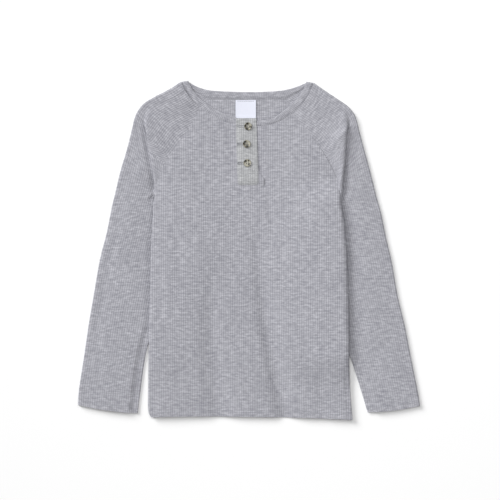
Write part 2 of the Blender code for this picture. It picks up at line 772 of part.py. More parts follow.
def button_drill(name, location):
    """The cutter for a button's four holes."""
    model = bmesh.new()
    for x in (-HOLE_OFFSET, HOLE_OFFSET):
        for y in (-HOLE_OFFSET, HOLE_OFFSET):
            place = Matrix.Translation((x * MM, y * MM, BUTTON_HEIGHT * MM / 2.0))
            bmesh.ops.create_cone(
                model, cap_ends=True, segments=HOLE_SIDES, radius1=HOLE_RADIUS * MM,
                radius2=HOLE_RADIUS * MM, depth=2.0 * BUTTON_HEIGHT * MM, matrix=place)
    mesh = bpy.data.meshes.new(name + "_drill")
    model.to_mesh(mesh)
    model.free()
    drill = bpy.data.objects.new(name + "_drill", mesh)
    drill.location = location
    drill.hide_render = True
    drill.display_type = "WIRE"
    bpy.context.scene.collection.objects.link(drill)
    return drill


# ---------------------------------------------------------------- build

for old in list(bpy.data.objects):
    bpy.data.objects.remove(old, do_unlink=True)

knit = finish_of("grey marl rib knit", (0.42, 0.42, 0.46), 0.9)
build_body(knit)
build_sleeve("sleeve_left", 1, knit)
build_sleeve("sleeve_right", -1, knit)
build_neckband(knit)
build_strip("placket_under", PLACKET_UNDER, UNDER_LIFT, STRIP_CLOTH, knit)
build_strip("placket", PLACKET, PLACKET_LIFT, STRIP_CLOTH, knit)
build_label(finish_of("white satin label", (0.86, 0.86, 0.84), 0.5))
horn = finish_of("horn-effect polyester", (0.07, 0.035, 0.02), 0.3)
for number, spot in enumerate(BUTTONS, start=1):
    build_button(f"button_{number}", spot, horn)
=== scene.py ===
"""Child's raglan henley shirt in marl rib knit, laid out flat with its face up: its looks.

Each cloth piece is a thin shell on the form of its own solid, with its creases, puffs, hems
and seams in its surface and its sewing as real thread on top. Tables are in millimetres: x
grows to the wearer's left, y to the neck and z upward. Every piece's knit runs along its own
grain, which is kept as a UV map in metres.
"""

import logging
import math
from dataclasses import dataclass
from enum import Enum
from typing import NamedTuple, Sequence

import bmesh
import bpy
import numpy as np
from mathutils import Matrix, Vector


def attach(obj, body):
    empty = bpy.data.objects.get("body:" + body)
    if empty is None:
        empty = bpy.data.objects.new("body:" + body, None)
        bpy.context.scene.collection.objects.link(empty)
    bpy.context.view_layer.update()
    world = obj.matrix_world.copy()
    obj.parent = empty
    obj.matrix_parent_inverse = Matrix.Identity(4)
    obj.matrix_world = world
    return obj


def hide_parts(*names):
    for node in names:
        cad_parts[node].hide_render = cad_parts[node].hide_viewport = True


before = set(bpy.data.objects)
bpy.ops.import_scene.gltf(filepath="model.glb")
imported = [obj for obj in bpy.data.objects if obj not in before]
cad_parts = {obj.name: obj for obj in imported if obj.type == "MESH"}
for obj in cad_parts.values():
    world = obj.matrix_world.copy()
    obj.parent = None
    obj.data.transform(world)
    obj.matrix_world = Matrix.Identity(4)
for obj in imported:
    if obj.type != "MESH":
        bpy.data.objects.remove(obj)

Array = np.ndarray
Material = bpy.types.Material
Model = bmesh.types.BMesh
Node = bpy.types.Node
Object = bpy.types.Object
Socket = bpy.types.NodeSocket
Tree = bpy.types.NodeTree
LOG = logging.getLogger("henley")
MM = 0.001
TINY = 1e-9


class Side(Enum):
    """A half of the shirt, as its wearer has it, by the sign of its x."""

    RIGHT = -1
    LEFT = 1


class Held(Enum):
    """How a piece of cloth is held in its place."""

    LAID = "laid"
    FOLDED = "folded"


# ---------------------------------------------------------------- the cut, laid out


class Corner(NamedTuple):
    """A point of the outline."""

    x: float
    y: float


class Trunk(NamedTuple):
    """A row of the front and back below the arms: its side edges and its middle's sag."""

    left_x: float
    left_y: float
    right_x: float
    right_y: float
    sag: float


class Raglan(NamedTuple):
    """A station up a raglan seam: both seams, the shoulder edge and the sleeve's pleat.

    The pleat lies at the share crease of the way from the seam to the edge. It is folded by
    turn degrees, and tuck is how much cloth lies between its two bends.
    """

    front_x: float
    front_y: float
    back_x: float
    back_y: float
    edge_x: float
    edge_y: float
    crease: float
    turn: float
    tuck: float


class Arm(NamedTuple):
    """A row across a sleeve below the armpit."""

    inner_x: float
    inner_y: float
    outer_x: float
    outer_y: float


class Loft(NamedTuple):
    """How high the front lies above the back at a height up the shirt.

    Heave is how much of the sleeve under it the front climbs over.
    """

    y: float
    middle: float
    side: float
    heave: float


class Trough(NamedTuple):
    """A soft trough in the lower half of the front, from where it fades out to the hem.

    It is steeper on its left, where its half width is the first of the two, and it has its
    full depth from that share of its length on which growth gives.
    """

    top_x: float
    top_y: float
    bend_x: float
    bend_y: float
    hem_x: float
    depth: float
    left_width: float
    right_width: float
    growth: float


class Crease(NamedTuple):
    """A soft crease on a straight line: a ridge, or a trough where its height is below 0."""

    start_x: float
    start_y: float
    end_x: float
    end_y: float
    height: float
    half_width: float


class Reach(NamedTuple):
    """Where the neckband's free edge lies from the seam below it."""

    x: float
    y: float


class Strip(NamedTuple):
    """A row of a placket strip."""

    y: float
    left: float
    right: float


# A panel's solid, its shell, and one layer on another with the slack between them.
CLOTH = 1.2
SHELL = 0.9
SLACK = 0.4
LAYER = CLOTH + SLACK
# The sleeve's layers: the lower one's middle, both together, and the upper one's middle along
# the arm and at the shoulder, which it reaches over this stretch.
FLOOR_LAYER = CLOTH / 2
ARM_UNDER = 2 * LAYER
ARM_PUFF = 0.2
SHOULDER_PUFF = 1.7
ARM_TOP = FLOOR_LAYER + LAYER + ARM_PUFF
SHOULDER_TOP = FLOOR_LAYER + LAYER + SHOULDER_PUFF
SHOULDER_START = 150.0
SHOULDER_SPAN = 50.0
# How the back and the front climb onto the sleeves that lie under them.
ARM_SWING = 1.2
BACK_RAMP = 14.0
RAMP_MARGIN = 8.0
FRONT_RAMP = 80.0
FLANK_POWER = 4
# How the body's sides stand up, from a foot to a head that each have a place and a run.
SIDE_PUFF = 0.6
SIDE_LIFT = {Side.RIGHT: 2.4, Side.LEFT: 7.2}
LIFT_POWER = 2
LIFT_FOOT = (-188.0, 50.0)
LIFT_HEAD = (96.0, 32.0)
# How the front's and the back's edges turn to meet each other, up to the armpit.
TURN_RUN = 14.0
SHELL_GAP = 0.02
EDGE_DROP = 0.25
ROLL_STRIP = 7.2
EDGE_RUN = {Side.RIGHT: 2.2, Side.LEFT: 6.0}
# How the cloth sinks along a sewn seam.
SEAM_DIP = 0.06
SEAM_WIDTH = 1.5
# The cut as it lies, from the hem up: the sides, both raglan seams and the sleeves.
ARMPIT = {Side.RIGHT: Corner(-127.0, 75.5), Side.LEFT: Corner(124.2, 71.6)}
TRUNK = (
    Trunk(-132.2, -225.2, 139.8, -228.8, -2.2),
    Trunk(-135.8, -216.0, 138.8, -219.5, -2.0),
    Trunk(-135.9, -190.0, 136.6, -191.0, -1.0),
    Trunk(-135.6, -158.0, 135.4, -158.0, 0.0),
    Trunk(-135.3, -128.0, 135.3, -128.0, 0.0),
    Trunk(-134.8, -98.0, 134.9, -98.0, 0.0),
    Trunk(-134.1, -66.0, 134.1, -66.0, 0.0),
    Trunk(-133.3, -34.0, 133.0, -34.0, 0.0),
    Trunk(-132.5, -4.0, 131.8, -4.0, 0.0),
    Trunk(-131.6, 20.0, 130.2, 18.0, 0.0),
    Trunk(-130.6, 38.0, 128.6, 34.0, 0.0),
    Trunk(-129.7, 51.0, 126.8, 46.0, 0.0),
    Trunk(-129.0, 62.0, 125.2, 56.5, 0.0),
    Trunk(-127.9, 70.4, 124.5, 66.2, 0.0),
)
RAGLAN = {
    Side.RIGHT: (
        Raglan(-127.0, 75.5, -127.0, 75.5, -180.9, 75.6, 0.0, 130, 0.5),
        Raglan(-124.3, 89.1, -121.0, 91.8, -173.5, 106.7, 0.05, 150, 1.2),
        Raglan(-119.5, 104.0, -112.1, 109.4, -164.7, 136.4, 0.235, 180, 6.0),
        Raglan(-111.4, 119.5, -101.3, 126.9, -158.6, 160.7, 0.54, 170, 5.0),
        Raglan(-101.3, 135.0, -91.1, 143.1, -152.8, 182.3, 0.725, 48, 0.4),
        Raglan(-90.5, 149.9, -81.7, 159.3, -142.4, 197.1, 0.80, 8, 1.0),
        Raglan(-79.7, 166.1, -72.9, 174.2, -126.2, 207.2, 0.70, 0, 1.0),
        Raglan(-71.6, 180.9, -64.1, 189.0, -108.0, 216.7, 0.60, 0, 1.0),
        Raglan(-66.2, 193.1, -56.7, 203.2, -92.0, 227.0, 0.50, 0, 1.0),
    ),
    Side.LEFT: (
        Raglan(124.2, 71.6, 124.2, 71.6, 172.8, 68.9, 0.0, 130, 0.5),
        Raglan(120.2, 90.5, 115.4, 89.1, 163.4, 106.7, 0.12, 150, 1.2),
        Raglan(114.1, 104.6, 105.3, 108.0, 155.3, 136.4, 0.35, 180, 6.0),
        Raglan(107.3, 118.8, 94.5, 126.9, 149.2, 159.3, 0.55, 180, 7.0),
        Raglan(98.6, 133.7, 85.1, 143.1, 143.8, 179.6, 0.72, 56, 0.4),
        Raglan(89.1, 147.2, 75.6, 159.3, 134.3, 193.1, 0.80, 10, 1.0),
        Raglan(78.3, 160.0, 66.8, 174.2, 120.2, 203.2, 0.70, 0, 1.0),
        Raglan(67.5, 172.8, 58.0, 189.0, 104.0, 214.0, 0.60, 0, 1.0),
        Raglan(60.8, 185.0, 50.0, 203.2, 87.5, 225.6, 0.50, 0, 1.0),
    ),
}
# How far the middle of each raglan row sags, from the armpit to the neck, and in what curve.
FRONT_SAG = (0.0, 0.0, 1.0, 3.0, 6.0, 9.5, 13.5, 18.0, 22.0)
BACK_SAG = (0.0, 0.0, 0.0, 0.0, 0.0, 0.0, 0.0, 0.0, 0.2)
NECK_SHAPE = 2.4
# How far the sleeve's neck edge is bowed, which fades out over these rows, and its cuff.
NECK_BULGE = 3.0
BULGE_ROWS = 2.0
CUFF_BULGE = 1.8
ARM = {
    Side.RIGHT: (
        Arm(-126.9, 70.4, -182.5, 69.5),
        Arm(-123.6, 63.0, -185.2, 58.0),
        Arm(-110.7, 48.6, -188.3, 41.9),
        Arm(-101.9, 25.7, -193.1, 18.9),
        Arm(-104.0, -10.8, -201.2, -12.2),
        Arm(-114.8, -56.7, -208.9, -56.7),
        Arm(-128.3, -99.9, -216.3, -99.9),
        Arm(-139.7, -140.4, -222.4, -141.8),
        Arm(-146.8, -189.0, -229.2, -186.3),
        Arm(-150.5, -220.0, -230.9, -209.0),
    ),
    Side.LEFT: (
        Arm(124.0, 66.4, 174.6, 62.8),
        Arm(118.8, 56.7, 177.5, 52.7),
        Arm(104.0, 41.9, 180.9, 37.1),
        Arm(95.2, 18.9, 185.4, 14.9),
        Arm(97.2, -16.2, 192.4, -14.9),
        Arm(108.0, -60.8, 200.5, -60.8),
        Arm(122.9, -106.7, 210.6, -104.0),
        Arm(137.6, -145.8, 218.4, -144.5),
        Arm(151.6, -189.0, 226.8, -186.3),
        Arm(160.4, -218.7, 230.9, -209.9),
    ),
}
LOFT = (
    Loft(-230.0, 3.0, 0.6, 1.0),
    Loft(-110.0, 4.8, 0.6, 1.0),
    Loft(0.0, 5.2, 0.6, 1.0),
    Loft(72.0, 4.2, 0.6, 1.0),
    Loft(90.0, 3.8, 1.3, 0.9),
    Loft(130.0, 2.8, 2.6, 0.6),
    Loft(160.0, 2.0, 2.3, 0.2),
    Loft(185.0, 1.7, 1.7, 0.0),
)
# Long troughs of the front, whose width starts at this share of its full one.
TROUGHS = (
    Trough(-48.6, -8.0, -50.0, -120.0, -40.5, 3.5, 14.0, 17.0, 1.1),
    Trough(8.6, 40.0, 22.0, -88.0, 47.5, 4.6, 11.0, 16.0, 0.75),
)
TROUGH_START = 0.65
# A crease fades out over this share of its length at either end.
CREASE_FADE = 0.35
# At the armpit: a pleat that is nearer the seam than this share opens into a plain slope, the
# climb onto the sleeve's roll is cut to this share over this run, and the layers press together.
PLEAT_NEAR = 0.2
ARMPIT_CLIMB = 0.25
ARMPIT_RUN = 45.0
ARMPIT_SINK = 1.2
HEM_Y = -226.0
# The neckband: how far its free edge lies from its seam, and where that edge shows at the back.
BAND_FRONT = {
    Side.RIGHT: (Reach(0.0, 10.5), Reach(4.0, 9.5), Reach(8.1, 5.6)),
    Side.LEFT: (Reach(0.0, 7.5), Reach(-4.0, 6.5), Reach(-8.4, 7.6)),
}
BAND_SHOULDER = {
    Side.RIGHT: (Reach(8.1, 5.6), Reach(9.2, 1.2)),
    Side.LEFT: (Reach(-8.4, 7.6), Reach(-9.0, 1.4)),
}
BAND_EDGE = (
    Corner(-68.4, 219.4),
    Corner(-53.0, 215.3),
    Corner(-35.0, 214.0),
    Corner(-16.0, 213.2),
    Corner(1.0, 212.9),
    Corner(17.0, 213.2),
    Corner(33.0, 213.9),
    Corner(48.0, 215.6),
    Corner(62.5, 219.4),
)
# The band's gap at its seam, its ends at the placket, and its height at the back, from which
# its seam lies level within this run.
BAND_GAP = 0.05
BAND_ENDS = {Side.RIGHT: -17.4, Side.LEFT: 10.4}
BAND_BACK_Z = 1.0
BAND_LEVEL_RUN = 2.0
# The placket: its strips, the front's slit under them, and how high they lie on the front.
PLACKET = (
    Strip(177.6, -17.6, 9.6),
    Strip(148.0, -17.2, 10.8),
    Strip(118.0, -16.2, 11.8),
    Strip(87.8, -14.9, 12.8),
)
PLACKET_UNDER = (
    Strip(175.0, -14.0, 8.0),
    Strip(148.0, -13.6, 9.4),
    Strip(106.0, -12.6, 11.0),
    Strip(96.0, -11.0, 20.3),
    Strip(86.4, -11.0, 20.3),
)
SLIT = {Side.RIGHT: -7.5, Side.LEFT: 1.5}
STRIP_CLOTH = 1.2
UNDER_LIFT = 0.8
PLACKET_LIFT = 1.55
# Its edge sewing with the box at its foot, the line across, and the point below it.
PLACKET_SEWING = (
    (Corner(-16.2, 176.0), Corner(-15.0, 118.0), Corner(-13.6, 89.2), Corner(11.4, 89.2),
     Corner(10.9, 107.6)),
    (Corner(-14.6, 108.0), Corner(10.9, 107.6)),
    (Corner(-14.2, 105.6), Corner(-1.6, 99.4), Corner(10.6, 105.6)),
)
# A button stands this far off the strip, with its buttonhole to one side and a little sunk.
BUTTON_GAP = 0.3
HOLE_SHIFT = 6.6
HOLE_SINK = 0.15
BUTTONS = (Corner(-1.2, 166.7), Corner(-3.0, 142.9), Corner(-2.2, 117.2))


# ---------------------------------------------------------------- curves and heights


def ease(value: Array | float) -> Array:
    """Smooth ramp from 0 to 1."""
    value = np.clip(value, 0.0, 1.0)
    return value * value * (3.0 - 2.0 * value)


def bell(distance: Array | float, width: Array | float) -> Array:
    """Smooth hump of height 1 and the given half width."""
    return np.exp(-((np.asarray(distance) / width) ** 2))


def smooth_rows(rows: Array, places: Array) -> Array:
    """Reads a table between its rows, on a smooth curve through them.

    Args:
        rows: One row of values for each station.
        places: Row numbers to read, whole or not.

    Returns:
        One row of values for each place.
    """
    padded = np.vstack((2 * rows[0] - rows[1], rows, 2 * rows[-1] - rows[-2]))
    first = np.clip(np.floor(places).astype(int), 0, len(rows) - 2)
    share = (places - first)[:, None]
    before, start, end, after = (padded[first + step] for step in range(4))
    bend = 2 * before - 5 * start + 4 * end - after
    twist = 3 * (start - end) + after - before
    return 0.5 * (2 * start + (end - before) * share + bend * share**2 + twist * share**3)


def straight_rows(rows: Array, places: Array) -> Array:
    """Reads a table between its rows, on straight lines."""
    numbers = np.arange(len(rows))
    return np.column_stack([np.interp(places, numbers, column) for column in rows.T])


def steps_between(rows: Array, spacing: float) -> Array:
    """Places between the rows of a table of points that lie about a spacing apart.

    Args:
        rows: Points, one for each station.
        spacing: Wanted distance between neighbouring places.

    Returns:
        Row numbers, with every whole one among them.
    """
    lengths = np.linalg.norm(np.diff(rows, axis=0), axis=1)
    places = [np.zeros(1)]
    for number, length in enumerate(lengths):
        steps = max(1, math.ceil(length / spacing))
        places.append(number + np.arange(1, steps + 1) / steps)
    return np.concatenate(places)


def run_along(line: Array) -> Array:
    """Distance along a line at each of its points."""
    steps = np.linalg.norm(np.diff(line, axis=0), axis=1)
    return np.concatenate(((0.0,), np.cumsum(steps)))


class Profile:
    """A smooth line through a table's rows, read by its key."""

    STEPS = 40

    def __init__(self, keys: Sequence[float], values: Sequence[float]) -> None:
        """Lays the line.

        Args:
            keys: What the line is read by, such as heights.
            values: Its value at each key.
        """
        rows = np.column_stack((keys, values)).astype(float)
        dense = smooth_rows(rows, np.linspace(0, len(rows) - 1, self.STEPS * len(rows)))
        dense = dense[np.argsort(dense[:, 0])]
        self.keys, self.values = dense.T

    def at(self, key: Array | float) -> Array:
        """The line's value at a key."""
        return np.interp(key, self.keys, self.values)


def table_of(rows: Sequence[NamedTuple], *names: str) -> Array:
    """Named columns of a table, one row each."""
    return np.array([[getattr(row, name) for name in names] for row in rows], dtype=float)


def profile_of(rows: Sequence[NamedTuple], key: str, value: str) -> Profile:
    """A smooth line through two named columns of a table."""
    return Profile(*table_of(rows, key, value).T)


def crease_relief(creases: Sequence[Crease], x: Array, y: Array) -> Array:
    """How far a panel's creases lift or press its points.

    Args:
        creases: The panel's creases.
        x: Points' x.
        y: Points' y.

    Returns:
        The lift at each point.
    """
    lift = np.zeros_like(x)
    for crease in creases:
        start = np.array((crease.start_x, crease.start_y))
        run = np.array((crease.end_x, crease.end_y)) - start
        length = np.linalg.norm(run)
        along = ((x - start[0]) * run[0] + (y - start[1]) * run[1]) / length**2
        across = ((x - start[0]) * run[1] - (y - start[1]) * run[0]) / length
        fade = ease(along / CREASE_FADE) * ease((1.0 - along) / CREASE_FADE)
        lift += crease.height * fade * bell(across, crease.half_width)
    return lift


class Lay:
    """How the laid-out shirt's layers rise over each other."""

    def __init__(self) -> None:
        """Draws the smooth lines that the heights are read from."""
        self.arm_inner = {side: profile_of(ARM[side], "inner_y", "inner_x") for side in Side}
        self.trunk = {
            Side.RIGHT: profile_of(TRUNK, "left_y", "left_x"),
            Side.LEFT: profile_of(TRUNK, "right_y", "right_x"),
        }
        self.seam = {side: profile_of(RAGLAN[side], "front_y", "front_x") for side in Side}
        self.loft = {name: profile_of(LOFT, "y", name) for name in ("middle", "side", "heave")}

    def side_lift(self, side: Side, y: Array) -> Array:
        """How much further the body's side stands up where it lies on the sleeve."""
        foot = ease((y - LIFT_FOOT[0]) / LIFT_FOOT[1])
        return SIDE_LIFT[side] * foot * ease((LIFT_HEAD[0] - y) / LIFT_HEAD[1])

    def turn(self, side: Side, y: float) -> float:
        """How far a panel's edge is turned to meet the other one: fully, up to the armpit."""
        return float(ease(1.0 + (ARMPIT[side].y - y) / TURN_RUN))

    def half_gap(self, side: Side, y: float) -> float:
        """Half the height between the front's and the back's walls at the side."""
        return (LAYER + SIDE_PUFF + float(self.side_lift(side, y))) / 2.0

    def arm_edge(self, side: Side, y: Array) -> Array:
        """X of the sleeve's hidden inner edge, which swings outward above the armpit."""
        above = np.maximum(0.0, y - ARM[side][0].inner_y)
        return self.arm_inner[side].at(y) + side.value * ARM_SWING * above

    def side_edge(self, side: Side, y: Array) -> Array:
        """X of the body's outline, up its side and on along the raglan seam."""
        below = y <= ARMPIT[side].y
        return np.where(below, self.trunk[side].at(y), self.seam[side].at(y))

    def back(self, x: Array, y: Array) -> Array:
        """Middle of the back's wall: on the surface, or over the sleeves under it.

        Args:
            x: Points' x.
            y: Points' y.

        Returns:
            The height at each point.
        """
        lift = np.zeros_like(np.asarray(x, dtype=float) + y)
        for side in Side:
            beyond = side.value * (x - self.arm_edge(side, y)) + RAMP_MARGIN
            lift = np.maximum(lift, ease(1.0 + beyond / BACK_RAMP))
        return FLOOR_LAYER + ARM_UNDER * lift

    def troughs(self, x: Array, y: Array) -> Array:
        """How far the long troughs press the front down.

        Args:
            x: Points' x.
            y: Points' y.

        Returns:
            The depth at each point.
        """
        depth = np.zeros_like(np.asarray(x, dtype=float) + y)
        for row in TROUGHS:
            heights = (HEM_Y, row.bend_y, row.top_y)
            line = Profile(heights, (row.hem_x, row.bend_x, row.top_x)).at(y)
            down = (row.top_y - y) / (row.top_y - HEM_Y)
            grown = np.sin(math.pi / 2.0 * np.clip(down / row.growth, 0.0, 1.0))
            width = np.where(x < line, row.left_width, row.right_width)
            width = width * (TROUGH_START + (1.0 - TROUGH_START) * grown)
            depth += row.depth * grown * bell(x - line, width)
        return depth

    def front(self, x: Array, y: Array) -> Array:
        """Middle of the front's wall above the surface.

        Args:
            x: Points' x.
            y: Points' y.

        Returns:
            The height at each point.
        """
        x = np.asarray(x, dtype=float)
        y = np.asarray(y, dtype=float)
        halves = [self.front_half(side, x, y) for side in Side]
        return np.where(x < 0, halves[0], halves[1]) - self.troughs(x, y)

    def front_half(self, side: Side, x: Array, y: Array) -> Array:
        """The front's height as one side of the shirt gives it, before its troughs.

        Args:
            side: The side of the shirt.
            x: Points' x.
            y: Points' y.

        Returns:
            The height at each point.
        """
        edge = self.side_edge(side, y)
        across = np.clip(side.value * x / np.abs(edge), 0.0, 1.0)
        middle = self.loft["middle"].at(y)
        flank = self.loft["side"].at(y)
        loft = flank + (middle - flank) * (1.0 - across**FLANK_POWER)
        loft = loft + self.side_lift(side, y) * across**LIFT_POWER
        armpit_y = ARM[side][0].inner_y
        hidden = np.where(y > armpit_y, edge, self.arm_edge(side, np.minimum(y, armpit_y)))
        lift = ease(1.0 + (side.value * (x - hidden) + RAMP_MARGIN) / FRONT_RAMP)
        return FLOOR_LAYER + LAYER + loft + ARM_UNDER * lift * self.loft["heave"].at(y)


# ---------------------------------------------------------------- finishes


def linear(code: str) -> tuple[float, float, float, float]:
    """Linear colour of an sRGB hex code.

    Args:
        code: The code, such as #A1A1A8.

    Returns:
        Its red, green, blue and alpha.
    """
    parts = (int(code[place:place + 2], 16) / 255.0 for place in (1, 3, 5))
    turned = (p / 12.92 if p <= 0.04045 else ((p + 0.055) / 1.055) ** 2.4 for p in parts)
    return (*turned, 1.0)


def add_node(tree: Tree, kind: str, inputs: dict | None = None, **settings: object) -> Node:
    """Adds a shader node.

    Args:
        tree: The material's node tree.
        kind: The node's type.
        inputs: Values and links by input; a socket is linked, anything else is set.
        settings: The node's own settings.

    Returns:
        The node.
    """
    node = tree.nodes.new(kind)
    for name, value in settings.items():
        setattr(node, name, value)
    for key, value in (inputs or {}).items():
        if isinstance(value, Socket):
            tree.links.new(value, node.inputs[key])
        else:
            node.inputs[key].default_value = value
    return node


def set_stops(ramp: Node, stops: Sequence[tuple[float, str]]) -> Socket:
    """Gives a colour ramp its stops.

    Args:
        ramp: The ramp.
        stops: Place and sRGB hex code of each stop, in order.

    Returns:
        The ramp's colour.
    """
    elements = ramp.color_ramp.elements
    for element, (place, code) in zip(elements, (stops[0], stops[-1])):
        element.position, element.color = place, linear(code)
    for place, code in stops[1:-1]:
        elements.new(place).color = linear(code)
    return ramp.outputs[0]


@dataclass(frozen=True)
class Finish:
    """What a piece is made of and how its surface was worked."""

    name: str

    def build(self) -> Material:
        """Makes the material.

        Returns:
            The material.
        """
        material = bpy.data.materials.new(self.name)
        material.use_nodes = True
        tree = material.node_tree
        tree.nodes.clear()
        shader = add_node(tree, "ShaderNodeBsdfPrincipled", self.surface(tree))
        add_node(tree, "ShaderNodeOutputMaterial", {0: shader.outputs[0]})
        return material

    def surface(self, tree: Tree) -> dict[str, object]:
        """The values and links of the surface's shader."""
        raise NotImplementedError


@dataclass(frozen=True)
class MarlRibKnit(Finish):
    """Cotton and polyester marl, rib knitted.

    Dyed and undyed fibres are blended before spinning, so each yarn shades from pale to
    mid grey along its length, and the courses show as short wavy streaks. The ribs stand
    up as rows of loops with painted shade down between them and the courses, and the
    brushed surface is matt with a soft sheen at its edges.
    """

    # Real ribs are about 1.5 mm wide and courses 1 mm high. They are drawn coarser to show.
    rib_mm: float = 3.0
    course_mm: float = 2.3
    # The rows of loops waver by a fraction of a rib, in stretches of this length.
    waver_mm: tuple[float, float] = (1.2, 1.6)
    waver_run_mm: float = 22.2222
    streak_mm: tuple[float, float] = (8.5, 2.6)
    cloud_mm: float = 35.7143
    fuzz_mm: float = 1.1111
    pale: str = "#BCBCC3"
    middle: str = "#A1A1A8"
    dark: str = "#85858E"
    # Where the dark, middle and pale yarn lie on the marl's ramp.
    places: tuple[float, float, float] = (0.375, 0.675, 0.895)
    # How much the clouds vary the marl, and how deep the painted shade between the loops is.
    cloud_share: float = 0.14
    rib_painted_shade: float = 0.16
    course_painted_shade: float = 0.06
    # How high the courses and the fibre ends stand beside the ribs.
    rib_depth_mm: float = 0.32
    course_height: float = 0.35
    fuzz_height: float = 0.5
    bump: float = 0.62
    roughness: float = 0.92
    sheen: float = 0.12

    def surface(self, tree: Tree) -> dict[str, object]:
        """The values and links of the surface's shader.

        Args:
            tree: The material's node tree.

        Returns:
            Values and sockets by the shader's input.
        """
        grain = add_node(tree, "ShaderNodeUVMap", uv_map="grain").outputs[0]
        drift = add_node(tree, "ShaderNodeTexNoise", {
            "Vector": grain, "Scale": 1.0 / (self.waver_run_mm * MM), "Detail": 1.0})
        centred = add_node(tree, "ShaderNodeVectorMath", {
            0: drift.outputs["Color"], 1: (-0.5, -0.5, -0.5)}, operation="ADD")
        reach = (self.waver_mm[0] * MM, self.waver_mm[1] * MM, 0.0)
        warped = add_node(tree, "ShaderNodeVectorMath", {
            0: centred.outputs[0], 1: reach, 2: grain}, operation="MULTIPLY_ADD")
        split = add_node(tree, "ShaderNodeSeparateXYZ", {0: warped.outputs[0]})
        rib = self.wave(tree, split.outputs[0], self.rib_mm)
        course = self.wave(tree, split.outputs[1], self.course_mm)
        streaks = self.streaks(tree, warped.outputs[0])
        return {
            "Base Color": self.colour(tree, grain, streaks, rib, course),
            "Normal": self.relief(tree, grain, rib, course), "Roughness": self.roughness,
            "Specular IOR Level": 0.25, "Sheen Weight": self.sheen, "Sheen Roughness": 0.6}

    def wave(self, tree: Tree, along: Socket, pitch_mm: float) -> Socket:
        """A 0 to 1 wave of the given pitch.

        Args:
            tree: The material's node tree.
            along: Distance in metres.
            pitch_mm: Length of one wave.

        Returns:
            The wave.
        """
        turn = add_node(tree, "ShaderNodeMath", {
            0: along, 1: 2.0 * math.pi / (pitch_mm * MM)}, operation="MULTIPLY")
        sine = add_node(tree, "ShaderNodeMath", {0: turn.outputs[0]}, operation="SINE")
        wave = add_node(tree, "ShaderNodeMath", {
            0: sine.outputs[0], 1: 0.5, 2: 0.5}, operation="MULTIPLY_ADD")
        return wave.outputs[0]

    def streaks(self, tree: Tree, grain: Socket) -> Socket:
        """The marl's pale and dark yarn stretches, long across and short along the grain.

        Args:
            tree: The material's node tree.
            grain: Place on the cloth, with the loops' wavering.

        Returns:
            How pale the yarn is.
        """
        size = (1.0 / (self.streak_mm[0] * MM), 1.0 / (self.streak_mm[1] * MM), 1.0)
        stretched = add_node(
            tree, "ShaderNodeVectorMath", {0: grain, 1: size}, operation="MULTIPLY")
        noise = add_node(tree, "ShaderNodeTexNoise", {
            "Vector": stretched.outputs[0], "Scale": 1.0, "Detail": 3.0, "Roughness": 0.62,
            "Distortion": 0.4})
        return noise.outputs["Fac"]

    def colour(
        self, tree: Tree, grain: Socket, streaks: Socket, rib: Socket, course: Socket
    ) -> Socket:
        """The marl's colour, with painted shade down between the ribs and the courses.

        Args:
            tree: The material's node tree.
            grain: Place on the cloth.
            streaks: The marl.
            rib: The ribs' wave.
            course: The courses' wave.

        Returns:
            The colour.
        """
        cloud = add_node(tree, "ShaderNodeTexNoise", {
            "Vector": grain, "Scale": 1.0 / (self.cloud_mm * MM), "Detail": 2.0})
        shade = streaks
        # The ribs' and courses' waves paint shade into the valleys between the loops.
        layers = ((cloud.outputs["Fac"], self.cloud_share), (rib, self.rib_painted_shade),
                  (course, self.course_painted_shade))
        for layer, share in layers:
            shade = add_node(tree, "ShaderNodeMath", {0: layer, 1: share, 2: shade},
                             operation="MULTIPLY_ADD").outputs[0]
        ramp = add_node(tree, "ShaderNodeValToRGB", {0: shade})
        return set_stops(ramp, tuple(zip(self.places, (self.dark, self.middle, self.pale))))

    def relief(self, tree: Tree, grain: Socket, rib: Socket, course: Socket) -> Socket:
        """The loops' relief: ribs, courses within them, and brushed fibre ends.

        Args:
            tree: The material's node tree.
            grain: Place on the cloth.
            rib: The ribs' wave.
            course: The courses' wave.

        Returns:
            The bent normal.
        """
        fuzz = add_node(tree, "ShaderNodeTexNoise", {
            "Vector": grain, "Scale": 1.0 / (self.fuzz_mm * MM), "Detail": 2.0})
        height = rib
        for layer, share in (
                (course, self.course_height), (fuzz.outputs["Fac"], self.fuzz_height)):
            height = add_node(tree, "ShaderNodeMath", {0: layer, 1: share, 2: height},
                              operation="MULTIPLY_ADD").outputs[0]
        bump = add_node(tree, "ShaderNodeBump", {
            "Strength": self.bump, "Distance": self.rib_depth_mm * MM, "Height": height})
        return bump.outputs[0]


@dataclass(frozen=True)
class SpunThread(Finish):
    """Spun polyester sewing thread.

    Two plies twisted together, dyed to the cloth's grey: fine slanting turns, with painted
    shade in the grooves between them, and a faint gloss that the knit doesn't have.
    """

    name: str = "spun polyester thread"
    colour: str = "#A9AAB0"
    # The colour painted into the grooves between the plies: painted shade.
    shade: str = "#8F9097"
    roughness: float = 0.6
    twist_mm: float = 0.6
    ply_depth_mm: float = 0.08

    def surface(self, tree: Tree) -> dict[str, object]:
        """The values and links of the surface's shader.

        Args:
            tree: The material's node tree.

        Returns:
            Values and sockets by the shader's input.
        """
        place = add_node(tree, "ShaderNodeTexCoord").outputs["Object"]
        scale = 1.0 / (self.twist_mm * MM) / (2.0 * math.pi)
        plies = add_node(
            tree, "ShaderNodeTexWave", {"Vector": place, "Scale": scale, "Distortion": 1.5},
            wave_type="BANDS", bands_direction="DIAGONAL").outputs["Fac"]
        # The plies' low grooves take the darker colour: painted shade.
        tint = add_node(tree, "ShaderNodeMixRGB", {
            0: plies, 1: linear(self.shade), 2: linear(self.colour)})
        bump = add_node(tree, "ShaderNodeBump", {
            "Strength": 0.5, "Distance": self.ply_depth_mm * MM, "Height": plies})
        return {"Base Color": tint.outputs[0], "Roughness": self.roughness,
                "Normal": bump.outputs[0]}


